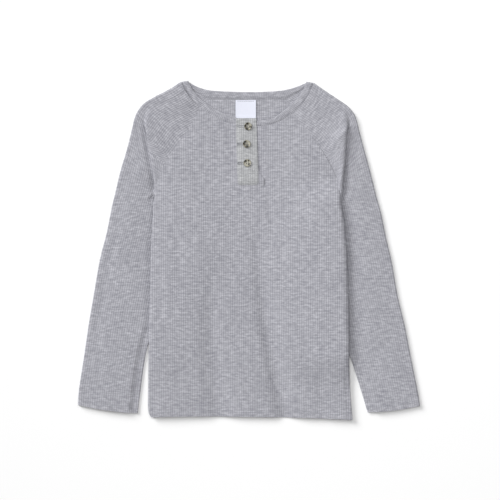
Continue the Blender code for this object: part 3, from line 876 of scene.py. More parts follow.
@dataclass(frozen=True)
class SatinRibbon(Finish):
    """White polyester satin label ribbon, heat cut.

    Its warp floats over several picks, so fine lines run along it, with painted shade
    where the floats lie low, and its gloss is stretched across them.
    """

    name: str = "white satin ribbon"
    colour: str = "#E1E3EF"
    # The colour painted where the floats lie low: painted shade.
    shade: str = "#D3D6E4"
    roughness: float = 0.38
    # Real floats are about 0.1 mm wide. They are drawn coarser to show.
    float_mm: tuple[float, float] = (0.5, 6.0)
    float_depth_mm: float = 0.05

    def surface(self, tree: Tree) -> dict[str, object]:
        """The values and links of the surface's shader.

        Args:
            tree: The material's node tree.

        Returns:
            Values and sockets by the shader's input.
        """
        grain = add_node(tree, "ShaderNodeUVMap", uv_map="grain").outputs[0]
        size = (1.0 / (self.float_mm[0] * MM), 1.0 / (self.float_mm[1] * MM), 1.0)
        stretched = add_node(
            tree, "ShaderNodeVectorMath", {0: grain, 1: size}, operation="MULTIPLY")
        floats = add_node(tree, "ShaderNodeTexNoise", {
            "Vector": stretched.outputs[0], "Scale": 1.0, "Detail": 2.0}).outputs["Fac"]
        # The low floats take the darker colour: painted shade.
        tint = add_node(tree, "ShaderNodeMixRGB", {
            0: floats, 1: linear(self.shade), 2: linear(self.colour)})
        bump = add_node(tree, "ShaderNodeBump", {
            "Strength": 0.3, "Distance": self.float_depth_mm * MM, "Height": floats})
        return {
            "Base Color": tint.outputs[0], "Roughness": self.roughness, "Anisotropic": 0.5,
            "Sheen Weight": 0.1, "Normal": bump.outputs[0]}


class Patch(NamedTuple):
    """A dark patch in a button's resin: its place from the middle, and its reach."""

    x: float
    y: float
    reach: float


@dataclass(frozen=True)
class HornEffectPolyester(Finish):
    """Cast polyester in the manner of pale horn, tumbled and polished.

    Dark resin is stirred into cream resin before it sets, so brown patches with soft,
    curling edges lie in a pale body under an even gloss.
    """

    patches: tuple[Patch, ...]
    stops: tuple[tuple[float, str], ...] = (
        (0.0, "#A9A697"), (0.3, "#85806F"), (0.6, "#524D3F"), (0.9, "#1C1B15"))
    roughness: float = 0.35
    # The stirred resin's swirls are this long, and curl the patches' edges by this much.
    swirl_mm: float = 3.2
    curl_mm: float = 1.6

    def surface(self, tree: Tree) -> dict[str, object]:
        """The values and links of the surface's shader.

        Args:
            tree: The material's node tree.

        Returns:
            Values and sockets by the shader's input.
        """
        place = add_node(tree, "ShaderNodeTexCoord").outputs["Object"]
        swirl = add_node(tree, "ShaderNodeTexNoise", {
            "Vector": place, "Scale": 1.0 / (self.swirl_mm * MM), "Detail": 3.0,
            "Distortion": 1.2})
        bend = add_node(tree, "ShaderNodeVectorMath", {
            0: swirl.outputs["Color"], 1: (-0.5, -0.5, -0.5)}, operation="ADD")
        curl = self.curl_mm * MM
        curled = add_node(tree, "ShaderNodeVectorMath", {
            0: bend.outputs[0], 1: (curl, curl, 0.0), 2: place}, operation="MULTIPLY_ADD")
        ramp = add_node(tree, "ShaderNodeValToRGB", {0: self.stain(tree, curled.outputs[0])})
        return {
            "Base Color": set_stops(ramp, self.stops), "Roughness": self.roughness,
            "IOR": 1.5, "Coat Weight": 0.15, "Coat Roughness": 0.12}

    def stain(self, tree: Tree, place: Socket) -> Socket:
        """How much dark resin there is.

        Args:
            tree: The material's node tree.
            place: The curled place in the button.

        Returns:
            A value from 0, where there is none, to 1.
        """
        level = add_node(
            tree, "ShaderNodeVectorMath", {0: place, 1: (1.0, 1.0, 0.0)}, operation="MULTIPLY")
        most = None
        for patch in self.patches:
            middle = (patch.x * MM, patch.y * MM, 0.0)
            away = add_node(tree, "ShaderNodeVectorMath", {0: level.outputs[0], 1: middle},
                            operation="DISTANCE")
            near = add_node(tree, "ShaderNodeMapRange", {
                0: away.outputs["Value"], 1: 0.0, 2: 2.0 * patch.reach * MM, 3: 1.0, 4: 0.0},
                interpolation_type="SMOOTHSTEP").outputs[0]
            most = near if most is None else add_node(
                tree, "ShaderNodeMath", {0: most, 1: near}, operation="MAXIMUM").outputs[0]
        return most


@dataclass(frozen=True)
class MattBoard(Finish):
    """Matt white board, the table under the shirt: flat, even and without gloss."""

    name: str = "matt white board"
    colour: str = "#FAFAFA"

    def surface(self, tree: Tree) -> dict[str, object]:
        """The values of the surface's shader."""
        return {"Base Color": linear(self.colour), "Roughness": 0.95, "Specular IOR Level": 0.0}


# ---------------------------------------------------------------- meshes


def arc_lengths(points: Array, axis: int) -> Array:
    """Distance along a grid of points from its first row or column.

    Args:
        points: Rows of points.
        axis: 0 for up the columns, 1 for along the rows.

    Returns:
        The distance at each point.
    """
    steps = np.linalg.norm(np.diff(points, axis=axis), axis=2)
    start = np.zeros_like(np.take(steps, [0], axis=axis))
    return np.concatenate((start, np.cumsum(steps, axis=axis)), axis=axis)


def face_normals(points: Array) -> Array:
    """Unit normals of a grid of points."""
    normals = np.cross(np.gradient(points, axis=1), np.gradient(points, axis=0))
    return normals / np.maximum(np.linalg.norm(normals, axis=2, keepdims=True), TINY)


def rows_at(grid: Array, run: Array, distance: float) -> Array:
    """The line through a grid at a distance along its columns.

    Args:
        grid: Rows of points or other values.
        run: Distance along the columns at each point.
        distance: Where to read.

    Returns:
        One value for each column.
    """
    columns = range(grid.shape[1])
    return np.array([
        [np.interp(distance, run[:, c], grid[:, c, k]) for k in range(3)] for c in columns])


def put(name: str, data: bpy.types.ID) -> Object:
    """Puts a mesh, a lamp or a camera into the scene.

    Args:
        name: The object's name.
        data: The mesh, lamp or camera.

    Returns:
        The object.
    """
    made = bpy.data.objects.new(name, data)
    bpy.context.scene.collection.objects.link(made)
    return made


def mesh_of(name: str, model: Model) -> bpy.types.Mesh:
    """Turns a finished model into a mesh.

    Args:
        name: The mesh's name.
        model: The model, which isn't needed any more.

    Returns:
        The mesh.
    """
    mesh = bpy.data.meshes.new(name)
    model.to_mesh(mesh)
    model.free()
    return mesh


def add_rings(model: Model, rings: Sequence[Array]) -> None:
    """Adds a closed form whose sections are rings of points.

    Args:
        model: The model that takes it.
        rings: Points of each ring, in millimetres.
    """
    made = [[model.verts.new(point * MM) for point in ring] for ring in rings]
    for lower, upper in zip(made, made[1:]):
        for step in range(len(lower)):
            after = (step + 1) % len(lower)
            model.faces.new((lower[step], lower[after], upper[after], upper[step]))
    model.faces.new(made[0][::-1])
    model.faces.new(made[-1])


def crisp_rim(mesh: bpy.types.Mesh) -> None:
    """Keeps the cut edge of a cloth from shading its face.

    Args:
        mesh: The cloth's mesh.
    """
    model = bmesh.new()
    model.from_mesh(mesh)
    for edge in model.edges:
        edge.smooth = not edge.is_boundary
    model.to_mesh(mesh)
    model.free()


def grid_object(
    name: str, points: Array, grain: Array, finish: Material, thickness: float,
    skip: Array | None = None,
) -> Object:
    """A cloth piece: a thin wall round a grid of points.

    Args:
        name: The piece's name.
        points: Rows of points on the middle of the wall, in millimetres.
        grain: The same points on the flat cloth, across and along its grain.
        finish: Its material.
        thickness: The wall's thickness.
        skip: Cells that are cut out.

    Returns:
        The piece.
    """
    rows, columns = points.shape[:2]
    numbers = np.arange(rows * columns).reshape(rows, columns)
    corners = (numbers[:-1, :-1], numbers[:-1, 1:], numbers[1:, 1:], numbers[1:, :-1])
    cells = np.stack(corners, axis=-1)
    faces = cells.reshape(-1, 4) if skip is None else cells[~skip]
    mesh = bpy.data.meshes.new(name)
    mesh.from_pydata((points.reshape(-1, 3) * MM).tolist(), [], faces.tolist())
    layer = mesh.uv_layers.new(name="grain")
    places = grain.reshape(-1, 2)[faces.reshape(-1)] * MM
    layer.data.foreach_set("uv", places.astype(np.float32).reshape(-1))
    mesh.shade_smooth()
    crisp_rim(mesh)
    mesh.materials.append(finish)
    piece = put(name, mesh)
    wall = piece.modifiers.new("wall", "SOLIDIFY")
    wall.thickness = thickness * MM
    wall.offset = 0.0
    return piece


def settle(piece: Object, nodes: Sequence[str] = ()) -> Object:
    """Puts a piece into the frame.

    Args:
        piece: The piece.
        nodes: The solids that it stands for.

    Returns:
        The piece.
    """
    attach(piece, "root")
    if nodes:
        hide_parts(*nodes)
    LOG.info("%s: %d faces", piece.name, len(piece.data.polygons))
    return piece


# ---------------------------------------------------------------- sewing


class StitchRing(NamedTuple):
    """A ring of a stitch: its place as a share of the length, its girth and lift in radii."""

    share: float
    girth: float
    lift: float


STITCH_RINGS = (
    StitchRing(0.0, 0.5, -0.8), StitchRing(0.15, 0.95, 0.1), StitchRing(0.5, 1.0, 0.5),
    StitchRing(0.85, 0.95, 0.1), StitchRing(1.0, 0.5, -0.8),
)


@dataclass(frozen=True)
class StitchRow:
    """A row of stitches: thread that rises out of the cloth and goes back into it."""

    pitch: float = 2.9
    length: float = 2.35
    radius: float = 0.24
    sides: int = 6

    def add(self, model: Model, path: Array, up: Array) -> None:
        """Sews along a path.

        Args:
            model: The model that takes the stitches.
            path: Points on the cloth's face.
            up: Which way is out of the cloth at each point.
        """
        run = run_along(path)
        count = max(1, int((run[-1] - self.length) / self.pitch) + 1)
        margin = (run[-1] - (count - 1) * self.pitch - self.length) / 2.0
        for number in range(count):
            add_rings(model, self.stitch(run, path, up, margin + number * self.pitch))

    def stitch(self, run: Array, path: Array, up: Array, start: float) -> list[Array]:
        """Rings of one stitch.

        Args:
            run: Distance along the path at each of its points.
            path: Points on the cloth's face.
            up: Out of the cloth.
            start: Where on the path the stitch starts.

        Returns:
            Points of each ring.
        """
        first, last = (
            np.array([np.interp(spot, run, path[:, k]) for k in range(3)])
            for spot in (start, start + self.length))
        out = np.array([np.interp(start, run, up[:, k]) for k in range(3)])
        out /= np.linalg.norm(out)
        along = last - first
        along /= max(np.linalg.norm(along), TINY)
        across = np.cross(out, along)
        angles = [2.0 * math.pi * step / self.sides for step in range(self.sides)]
        spokes = np.array([across * math.cos(a) + out * math.sin(a) for a in angles])
        return [
            first + (last - first) * ring.share + out * ring.lift * self.radius
            + spokes * ring.girth * self.radius for ring in STITCH_RINGS]


class Sewing:
    """One piece of sewing, gathered row by row into a single mesh of thread."""

    def __init__(self, name: str, finish: Material) -> None:
        """Starts an empty piece.

        Args:
            name: The piece's name.
            finish: The thread's material.
        """
        self.name = name
        self.finish = finish
        self.model = bmesh.new()

    def sew(self, row: StitchRow, path: Array, up: Array | None = None) -> "Sewing":
        """Adds a row of stitches along a path.

        Args:
            row: The stitches.
            path: Points on the cloth's face.
            up: Which way is out of the cloth at each point, if not straight up.

        Returns:
            This piece.
        """
        straight = np.tile((0.0, 0.0, 1.0), (len(path), 1))
        row.add(self.model, path, straight if up is None else up)
        return self

    def finish_off(self) -> Object:
        """Turns the rows into a piece in the frame.

        Returns:
            The piece.
        """
        mesh = mesh_of(self.name, self.model)
        mesh.shade_smooth()
        mesh.materials.append(self.finish)
        return settle(put(self.name, mesh))


# ---------------------------------------------------------------- front and back


@dataclass(frozen=True)
class Hem:
    """A turned hem sewn with two needles: its depth, its rows and its relief."""

    depth: float = 9.4
    rows: tuple[float, float] = (6.4, 8.8)
    rise: float = 0.3
    edge_run: float = 1.4
    groove: float = 0.3
    groove_width: float = 0.9

    def relief(self, distance: Array) -> Array:
        """Lift of the cloth at a distance from the hem's edge.

        Args:
            distance: The distance.

        Returns:
            The lift: the doubled cloth, less the grooves along its stitch rows.
        """
        doubled = self.rise * (1.0 - ease((distance - self.depth) / self.edge_run))
        sewn = sum(self.groove * bell(distance - row, self.groove_width) for row in self.rows)
        return doubled - sewn


@dataclass(frozen=True)
class BodyPanel:
    """The front or the back, cut from one piece of knit."""

    lay: Lay
    front: bool
    creases: tuple[Crease, ...] = ()
    spacing: float = 2.6
    half_width: float = 130.0
    roll_steps: int = 9
    hem: Hem = Hem()

    @property
    def name(self) -> str:
        """The panel's node."""
        return "front" if self.front else "back"

    def stations(self) -> Array:
        """Side edges and sag of every row, hem first.

        Returns:
            A row for each station: x and y of both edges, then the sag.
        """
        seam = (self.name + "_x", self.name + "_y")
        sags = np.array(FRONT_SAG if self.front else BACK_SAG)[:, None]
        seams = [table_of(RAGLAN[side], *seam) for side in Side]
        return np.vstack((table_of(TRUNK, *Trunk._fields), np.hstack((*seams, sags))))

    def height(self, x: Array, y: Array) -> Array:
        """Height of the wall's middle, creases and all.

        Args:
            x: Points' x.
            y: Points' y.

        Returns:
            The heights.
        """
        if not self.front:
            return self.lay.back(x, y)
        return self.lay.front(x, y) + crease_relief(self.creases, x, y)

    def laid(self, station: Array, x: Array) -> Array:
        """Points of a row at some x, where the panel lies on what is under it.

        Args:
            station: Side edges and sag of the row.
            x: Points' x.

        Returns:
            The points. Their y runs from edge to edge, and sags in the middle.
        """
        left, right = station[0:2], station[2:4]
        across = (x - left[0]) / (right[0] - left[0])
        bow = 1.0 - np.abs(np.clip(2.0 * across - 1.0, -1.0, 1.0)) ** NECK_SHAPE
        y = left[1] + (right[1] - left[1]) * across - station[4] * bow
        return np.column_stack((x, y, self.height(x, y)))

    def row(self, station: Array) -> Array:
        """One row of points.

        Args:
            station: Side edges and sag of the row.

        Returns:
            Its points, from the left edge to the right edge.
        """
        halves = []
        for side, end in ((Side.RIGHT, station[0:2]), (Side.LEFT, station[2:4])):
            start = end[0] - side.value * ROLL_STRIP
            xs = np.linspace(start, SLIT[side], math.ceil(self.half_width / self.spacing))
            halves.append(np.vstack((self.edge(side, end, station), self.laid(station, xs))))
        return np.vstack((halves[0], halves[1][::-1]))

    def edge(self, side: Side, end: Array, station: Array) -> Array:
        """The strip along the side of a row: turned to meet the other panel, or flat.

        Args:
            side: Which side of the shirt.
            end: The row's end on the outline.
            station: Side edges and sag of the row.

        Returns:
            The strip's points, the outermost first.
        """
        shares = np.arange(self.roll_steps) / self.roll_steps
        xs = end[0] - side.value * (SHELL_GAP / 2.0 + ROLL_STRIP * shares)
        flat = self.laid(station, xs)
        radius = self.lay.half_gap(side, end[1])
        bend = radius - EDGE_DROP
        angles = math.pi / 2.0 * (1.0 - shares[:-1] / shares[-2])
        drops = np.concatenate(((radius - SHELL_GAP / 2.0,), bend * (1.0 - np.cos(angles))))
        runs = np.concatenate(((0.0,), max(bend, EDGE_RUN[side]) * (1.0 - np.sin(angles))))
        outer = end[0] - side.value * CLOTH / 2.0
        level = self.height(np.array(outer), np.array(end[1]))
        fall = -drops if self.front else drops
        turned = np.column_stack((
            outer - side.value * runs, np.full_like(runs, end[1]), level + fall))
        turn = self.lay.turn(side, end[1])
        return flat * (1.0 - turn) + turned * turn

    def dressed(self) -> tuple[Array, Array, Array]:
        """The panel with its hem and sunk seams.

        Returns:
            Its points, its grain, and how far up its stations each row is.
        """
        stations = self.stations()
        places = steps_between(stations[:, 0:2], self.spacing)
        points = np.array([self.row(station) for station in smooth_rows(stations, places)])
        grain = points[:, :, :2].copy()
        up = arc_lengths(points, 0)
        across = arc_lengths(points, 1)
        from_side = np.minimum(across, across[:, -1:] - across)
        from_neck = up[-1:] - up
        raglan = ease(places - len(TRUNK))[:, None]
        relief = -SEAM_DIP * bell(from_side, SEAM_WIDTH) * raglan
        relief -= SEAM_DIP * bell(from_neck, SEAM_WIDTH)
        relief += self.hem.relief(up) if self.front else 0.0
        points[:, :, 2] += relief
        return points, grain, places

    def build(self, finish: Material) -> Object:
        """Makes the panel, the front with its slit for the placket.

        Args:
            finish: The knit.

        Returns:
            The panel.
        """
        points, grain, places = self.dressed()
        middle = points.shape[1] // 2 - 1
        skip = np.zeros((points.shape[0] - 1, points.shape[1] - 1), dtype=bool)
        if self.front:
            skip[places[:-1] >= len(TRUNK) + 1, middle] = True
        piece = grid_object(self.name + "_panel", points, grain, finish, SHELL, skip)
        return settle(piece, [self.name])

    def sew_hem(self, thread: Material) -> Object:
        """Sews the hem's two rows, on the panel's outer face.

        Args:
            thread: The thread's material.

        Returns:
            The stitching.
        """
        points, _, _ = self.dressed()
        up = arc_lengths(points, 0)
        normals = face_normals(points)
        face = 1.0 if self.front else -1.0
        sewing = Sewing(self.name + "_hem_stitching", thread)
        inner = slice(self.roll_steps, points.shape[1] - self.roll_steps)
        for distance in self.hem.rows:
            path = rows_at(points, up, distance)[inner]
            out = rows_at(normals, up, distance)[inner] * face
            out *= np.sign(out[:, 2:3]) * face
            sewing.sew(StitchRow(), path + out * (SHELL / 2.0), out)
        return sewing.finish_off()


# ---------------------------------------------------------------- sleeves


def bowed(first: Array, last: Array, bulge: float, shares: Array) -> Array:
    """Points along a line that is bowed downward in its middle.

    Args:
        first: Where the line starts.
        last: Where it ends.
        bulge: How far its middle is moved.
        shares: Where along it the points are.

    Returns:
        The points.
    """
    along = (last - first) / np.linalg.norm(last - first)
    across = np.array((along[1], -along[0]))
    across *= -np.sign(across[1])
    spots = first + (last - first) * shares[:, None]
    return spots + across * (bulge * 4.0 * shares * (1.0 - shares))[:, None]


@dataclass(frozen=True)
class Sleeve:
    """A raglan sleeve: one panel from neck to cuff, folded along its outer edge."""

    lay: Lay
    side: Side
    creases: tuple[Crease, ...] = ()
    spacing: float = 3.0
    # Points of a row: to the pleat, in each of its bends, over the arm, and in the turns.
    reach_steps: int = 12
    bend_steps: int = 7
    arm_steps: int = 22
    turn_steps: int = 8
    closing_steps: int = 5
    # The outer fold's run beside its height, the step of the arm's first points, and the lower
    # layer's end: how far before its seam, how late it climbs and how sharply it turns up.
    turn_run: float = 0.5
    flat_step: float = 0.32
    under_stop: float = 3.0
    under_climb: float = 8.0
    seam_power: int = 4
    # The pleat's layer, the cloth eased into its first bend, and the least there may be of the
    # way to it, of its tuck and of its fall.
    pleat_layer: float = LAYER
    pleat_ease: float = 0.0
    least_reach: float = 0.5
    least_tuck: float = 0.2
    least_fall: float = 0.1
    # How high the upper layer rolls up beside the body, over what share of its width below the
    # armpit and how soon above it, and its puff in the middle.
    roll: float = 1.4
    roll_share: float = 0.10
    climb_power: float = 8.0
    puff: float = 0.9
    hem: Hem = Hem(depth=8.6, rows=(5.8, 8.0))

    @property
    def name(self) -> str:
        """The sleeve's node."""
        return "sleeve_" + self.side.name.lower()

    @property
    def path_count(self) -> int:
        """How many points a row has from the seam to where the pleat ends."""
        return self.reach_steps + 1 + 2 * self.bend_steps + 1

    def pleat(self, length: float, station: Array, seam_z: float, arm_z: float) -> Array:
        """Section of the upper layer across its pleat.

        Args:
            length: From the seam to the turn at the sleeve's outer edge.
            station: The raglan row: its crease, turn and tuck come last.
            seam_z: Height at the seam.
            arm_z: Height beyond the pleat.

        Returns:
            Rows of distance and height.
        """
        crease, turn, tuck = station[6:9]
        angle = math.radians(np.clip(turn, 0.0, 180.0))
        piece = math.pi * self.pleat_layer / 2.0 / self.bend_steps
        bend = (np.arange(self.bend_steps) + 0.5) / self.bend_steps
        turns = angle * np.concatenate((bend, (1.0,), bend[::-1]))
        runs = np.full(len(turns), piece)
        runs[self.bend_steps] = max(tuck, self.least_tuck)
        # Near the armpit the pleat opens out, and only falls from the seam to the arm.
        near = 1.0 - float(ease(crease / PLEAT_NEAR))
        fall = float(np.sum(runs * np.sin(turns)))
        runs *= 1.0 + near * ((seam_z - arm_z) / max(fall, self.least_fall) - 1.0)
        # The first bend takes the eased cloth, as far as there is room before it.
        eased = self.pleat_ease * piece * (1.0 - bend) ** 2
        room = max(0.0, length * crease - self.least_reach)
        eased *= min(1.0, room / max(self.least_fall, float(np.sum(eased))))
        runs[:self.bend_steps] += eased
        # However much cloth there is, the fold stands no higher than its two bends do.
        fall = float(np.sum(runs * np.sin(turns)))
        most = float(np.sum((2.0 * piece + eased) * np.sin(math.pi * bend)))
        slack = min(1.0, most / max(fall, self.least_fall))
        runs, eased, fall = runs * slack, eased * slack, fall * slack
        nose = float(np.sum(eased * np.cos(turns[:self.bend_steps])))
        reach = max(self.least_reach, length * crease - nose)
        shares = np.linspace(0.0, 1.0, self.reach_steps + 1)
        rise = seam_z + (arm_z + fall - seam_z) * ease(shares)
        flat = np.column_stack((reach * shares, rise))
        folded = np.column_stack((
            reach + np.cumsum(runs * np.cos(turns)), rise[-1] - np.cumsum(runs * np.sin(turns))))
        return np.vstack((flat, folded))

    def tube(self) -> Array:
        """The same stretch below the armpit: the inner edge's turn, then flat cloth.

        Returns:
            Rows of distance and height.
        """
        radius = (ARM_TOP - FLOOR_LAYER) / 2.0
        turn = self.closing(radius)
        steps = np.arange(1, self.path_count - len(turn) + 1)
        flat = np.column_stack((radius + self.flat_step * steps, np.full(len(steps), ARM_TOP)))
        return np.vstack((np.column_stack((turn[:, 0], ARM_TOP - turn[:, 1])), flat))

    def closing(self, radius: float) -> Array:
        """A quarter turn to the seam.

        Args:
            radius: Half the height between the layers that meet there.

        Returns:
            Rows of run in and drop, the seam first.
        """
        bend = radius - EDGE_DROP
        angles = np.linspace(math.pi / 2.0, 0.0, self.closing_steps)
        arc = np.column_stack((bend * (1.0 - np.sin(angles)), bend * (1.0 - np.cos(angles))))
        return np.vstack(((0.0, radius - SHELL_GAP / 2.0), arc))

    def row(
        self, path: Array, first: Array, last: Array, edge: Array, out: Array, bulge: float,
        arm_z: float, rise: float, lift: float, closed: bool,
    ) -> Array:
        """One row round the sleeve.

        Args:
            path: Section from the upper layer's seam to the end of its pleat.
            first: Where the upper layer starts.
            last: Where the lower layer stops.
            edge: The outline's point.
            out: Unit vector out of the outline.
            bulge: How far the row is bowed towards the cuff.
            arm_z: Height of the upper layer's middle.
            rise: How far the lower layer climbs before its seam.
            lift: How much further its last stretch turns up to the seam, if not closed.
            closed: Whether the lower layer turns up to a seam under the arm.

        Returns:
            The row's points: upper layer, outer turn and lower layer.
        """
        top = arm_z + self.roll
        radius = (top - FLOOR_LAYER) / 2.0
        centre = edge - out * (CLOTH / 2.0 + radius * self.turn_run)
        length = np.linalg.norm(centre - first)
        pleated = bowed(first, centre, bulge, path[:, 0] / length)
        upper = np.column_stack((pleated, path[:, 1]))
        steps = np.arange(1, self.arm_steps + 1) / self.arm_steps
        shares = path[-1, 0] / length
        spots = bowed(first, centre, bulge, shares + (1.0 - shares) * steps)
        start = self.lay.side_edge(self.side, spots[:, 1])
        shown = np.clip((spots[:, 0] - start) / (edge[0] - start), 0.0, 1.0)
        if closed:
            down = ARM[self.side][0].inner_y - first[1]
            share = ARMPIT_CLIMB + (1.0 - ARMPIT_CLIMB) * float(ease(down / ARMPIT_RUN))
            climb = np.clip(shown / (self.roll_share * share), 0.0, 1.0)
            heights = arm_z + self.roll * (1.0 - (1.0 - climb) ** 2)
        else:
            heights = top + (path[-1, 1] - top) * (1.0 - steps) ** self.climb_power
        heights = heights + self.puff * np.sin(math.pi * shown) ** 2
        arm = np.column_stack((spots, heights))
        angles = math.pi * np.arange(1, self.turn_steps + 1) / self.turn_steps
        turn = np.column_stack((
            centre + out * (radius * self.turn_run * np.sin(angles))[:, None],
            FLOOR_LAYER + radius * (1.0 + np.cos(angles))))
        under = bowed(centre, last, bulge if closed else 0.0, steps)
        climbed = ease(self.under_climb * steps - (self.under_climb - 1.0))
        lower = np.column_stack((under, FLOOR_LAYER + rise * climbed))
        heading = under[-1] - under[-2]
        heading = heading / np.linalg.norm(heading)
        turning = self.closing((arm_z - FLOOR_LAYER) / 2.0)[-2::-1]
        if closed:
            ahead = (arm_z - FLOOR_LAYER) / 2.0 - EDGE_DROP - turning[:, 0]
            rises = turning[:, 1]
        else:
            ahead = self.under_stop * np.arange(1, len(turning) + 1) / len(turning)
            rises = lift * (ahead / self.under_stop) ** self.seam_power
        end = np.column_stack((under[-1] + heading * ahead[:, None], lower[-1, 2] + rises))
        return np.vstack((upper, arm, turn, lower, end))

    def grid(self) -> tuple[Array, Array]:
        """The sleeve's rows, neck first.

        Returns:
            The rows, and where down the sleeve each is.
        """
        raglan = table_of(RAGLAN[self.side][::-1], *Raglan._fields)
        arms = table_of(ARM[self.side], *Arm._fields)
        outline = np.vstack((raglan[:, 4:6], arms[:, 2:4]))
        places = steps_between(outline, self.spacing)
        edges = smooth_rows(outline, places)
        run = np.gradient(edges, axis=0)
        run /= np.linalg.norm(run, axis=1, keepdims=True)
        outs = np.column_stack((-run[:, 1], run[:, 0])) * self.side.value
        joint = len(raglan) - 1
        rows = []
        for place, edge, out in zip(places, edges, outs):
            if place <= joint:
                station = smooth_rows(raglan, np.array([place]))[0]
                rows.append(self.raglan_row(place, station, edge, out))
            elif place >= joint + 1:
                station = smooth_rows(arms, np.array([place - joint - 1]))[0]
                last = place - joint - len(arms)
                rows.append(self.arm_row(last, station, edge, out))
        # No row lies between the last one of the raglan and the first one of the arm.
        kept = (places <= joint) | (places >= joint + 1)
        return np.array(rows), places[kept]

    def raglan_row(self, place: float, station: Array, edge: Array, out: Array) -> Array:
        """A row between the raglan seams.

        Args:
            place: Its number from the neck.
            station: Its seams, edge and pleat.
            edge: The outline's point.
            out: Unit vector out of the outline.

        Returns:
            The row's points.
        """
        front_seam, back_seam = station[0:2].copy(), station[2:4].copy()
        front_turn, back_turn = (
            self.lay.turn(self.side, seam[1]) * self.lay.half_gap(self.side, seam[1])
            for seam in (front_seam, back_seam))
        seam_z = float(self.lay.front(*front_seam)) - front_turn
        seam_floor = float(self.lay.back(*back_seam))
        for seam in (front_seam, back_seam):
            seam[0] -= self.side.value * CLOTH / 2.0 * self.lay.turn(self.side, seam[1])
        shoulder = float(ease((edge[1] - SHOULDER_START) / SHOULDER_SPAN))
        arm_z = ARM_TOP + (SHOULDER_TOP - ARM_TOP) * shoulder
        radius = (arm_z + self.roll - FLOOR_LAYER) / 2.0
        centre = edge - out * (CLOTH / 2.0 + radius * self.turn_run)
        bulge = NECK_BULGE * max(0.0, 1.0 - place / BULGE_ROWS)
        first = self.off_seam(front_seam, centre)
        back = self.off_seam(back_seam, centre)
        length = np.linalg.norm(centre - back)
        last = back + (centre - back) * self.under_stop / length
        unfolded = math.cos(math.radians(min(station[7], 180.0)) / 2.0) ** 2
        pleat_z = max(arm_z + self.roll * unfolded, seam_floor + LAYER - ARMPIT_SINK)
        path = self.pleat(np.linalg.norm(centre - first), station, seam_z, pleat_z)
        return self.row(path, first, last, edge, out, bulge, arm_z,
                        seam_floor - FLOOR_LAYER, back_turn, False)

    def off_seam(self, seam: Array, centre: Array) -> Array:
        """A seam point, moved into the sleeve by half the shells' gap."""
        return seam + (centre - seam) / np.linalg.norm(centre - seam) * SHELL_GAP / 2.0

    def arm_row(self, last: float, station: Array, edge: Array, out: Array) -> Array:
        """A row below the armpit.

        Args:
            last: Rows to go to the cuff, as a number below 0.
            station: Its inner and outer points.
            edge: The outline's point.
            out: Unit vector out of the outline.

        Returns:
            The row's points.
        """
        radius = (ARM_TOP - FLOOR_LAYER) / 2.0
        centre = edge - out * (CLOTH / 2.0 + radius)
        inner = station[0:2]
        inward = (inner - centre) / np.linalg.norm(inner - centre)
        bulge = CUFF_BULGE * max(0.0, 1.0 + last)
        return self.row(self.tube(), inner, inner - inward * radius, edge, out, bulge, ARM_TOP,
                        0.0, 0.0, True)

    def dressed(self) -> tuple[Array, Array, Array]:
        """The sleeve with its creases, cuff hem and sunk seams.

        Returns:
            Its points, its grain and each point's distance from the cuff.
        """
        points, places = self.grid()
        across = arc_lengths(points, 1)
        down = arc_lengths(points, 0)
        fold = self.path_count + self.arm_steps + self.turn_steps // 2
        spine = down[:, fold:fold + 1]
        grain = np.stack((
            (across - across[:, fold:fold + 1]) * -self.side.value,
            np.broadcast_to(-spine, across.shape)), axis=2)
        from_cuff = down[-1:] - down
        upper = np.zeros(points.shape[1])
        upper[:fold] = 1.0
        raglan = (places <= len(RAGLAN[self.side]) - 1)[:, None]
        relief = upper * crease_relief(self.creases, points[:, :, 0], points[:, :, 1])
        relief = relief - SEAM_DIP * bell(across, SEAM_WIDTH) * raglan
        relief = relief - SEAM_DIP * bell(down, SEAM_WIDTH) * upper
        relief = relief + np.where(upper > 0, self.hem.relief(from_cuff), 0.0)
        points[:, :, 2] += relief
        return points, grain, from_cuff

    def build(self, finish: Material) -> Object:
        """Makes the sleeve.

        Args:
            finish: The knit.

        Returns:
            The sleeve.
        """
        points, grain, _ = self.dressed()
        if self.side is Side.LEFT:
            points, grain = points[:, ::-1], grain[:, ::-1]
        piece = grid_object(self.name + "_panel", points, grain, finish, SHELL)
        return settle(piece, [self.name])

    def sew_cuff(self, thread: Material) -> Object:
        """Sews the cuff's two rows, all round.

        Args:
            thread: The thread's material.

        Returns:
            The stitching.
        """
        points, _, from_cuff = self.dressed()
        normals = face_normals(points) * -self.side.value
        sewing = Sewing(self.name + "_cuff_stitching", thread)
        inner = slice(self.closing_steps, points.shape[1] - self.closing_steps)
        for distance in self.hem.rows:
            path = rows_at(points[::-1], from_cuff[::-1], distance)[inner]
            out = rows_at(normals[::-1], from_cuff[::-1], distance)[inner]
            sewing.sew(StitchRow(), path + out * (SHELL / 2.0), out)
        return sewing.finish_off()


# ---------------------------------------------------------------- neckband


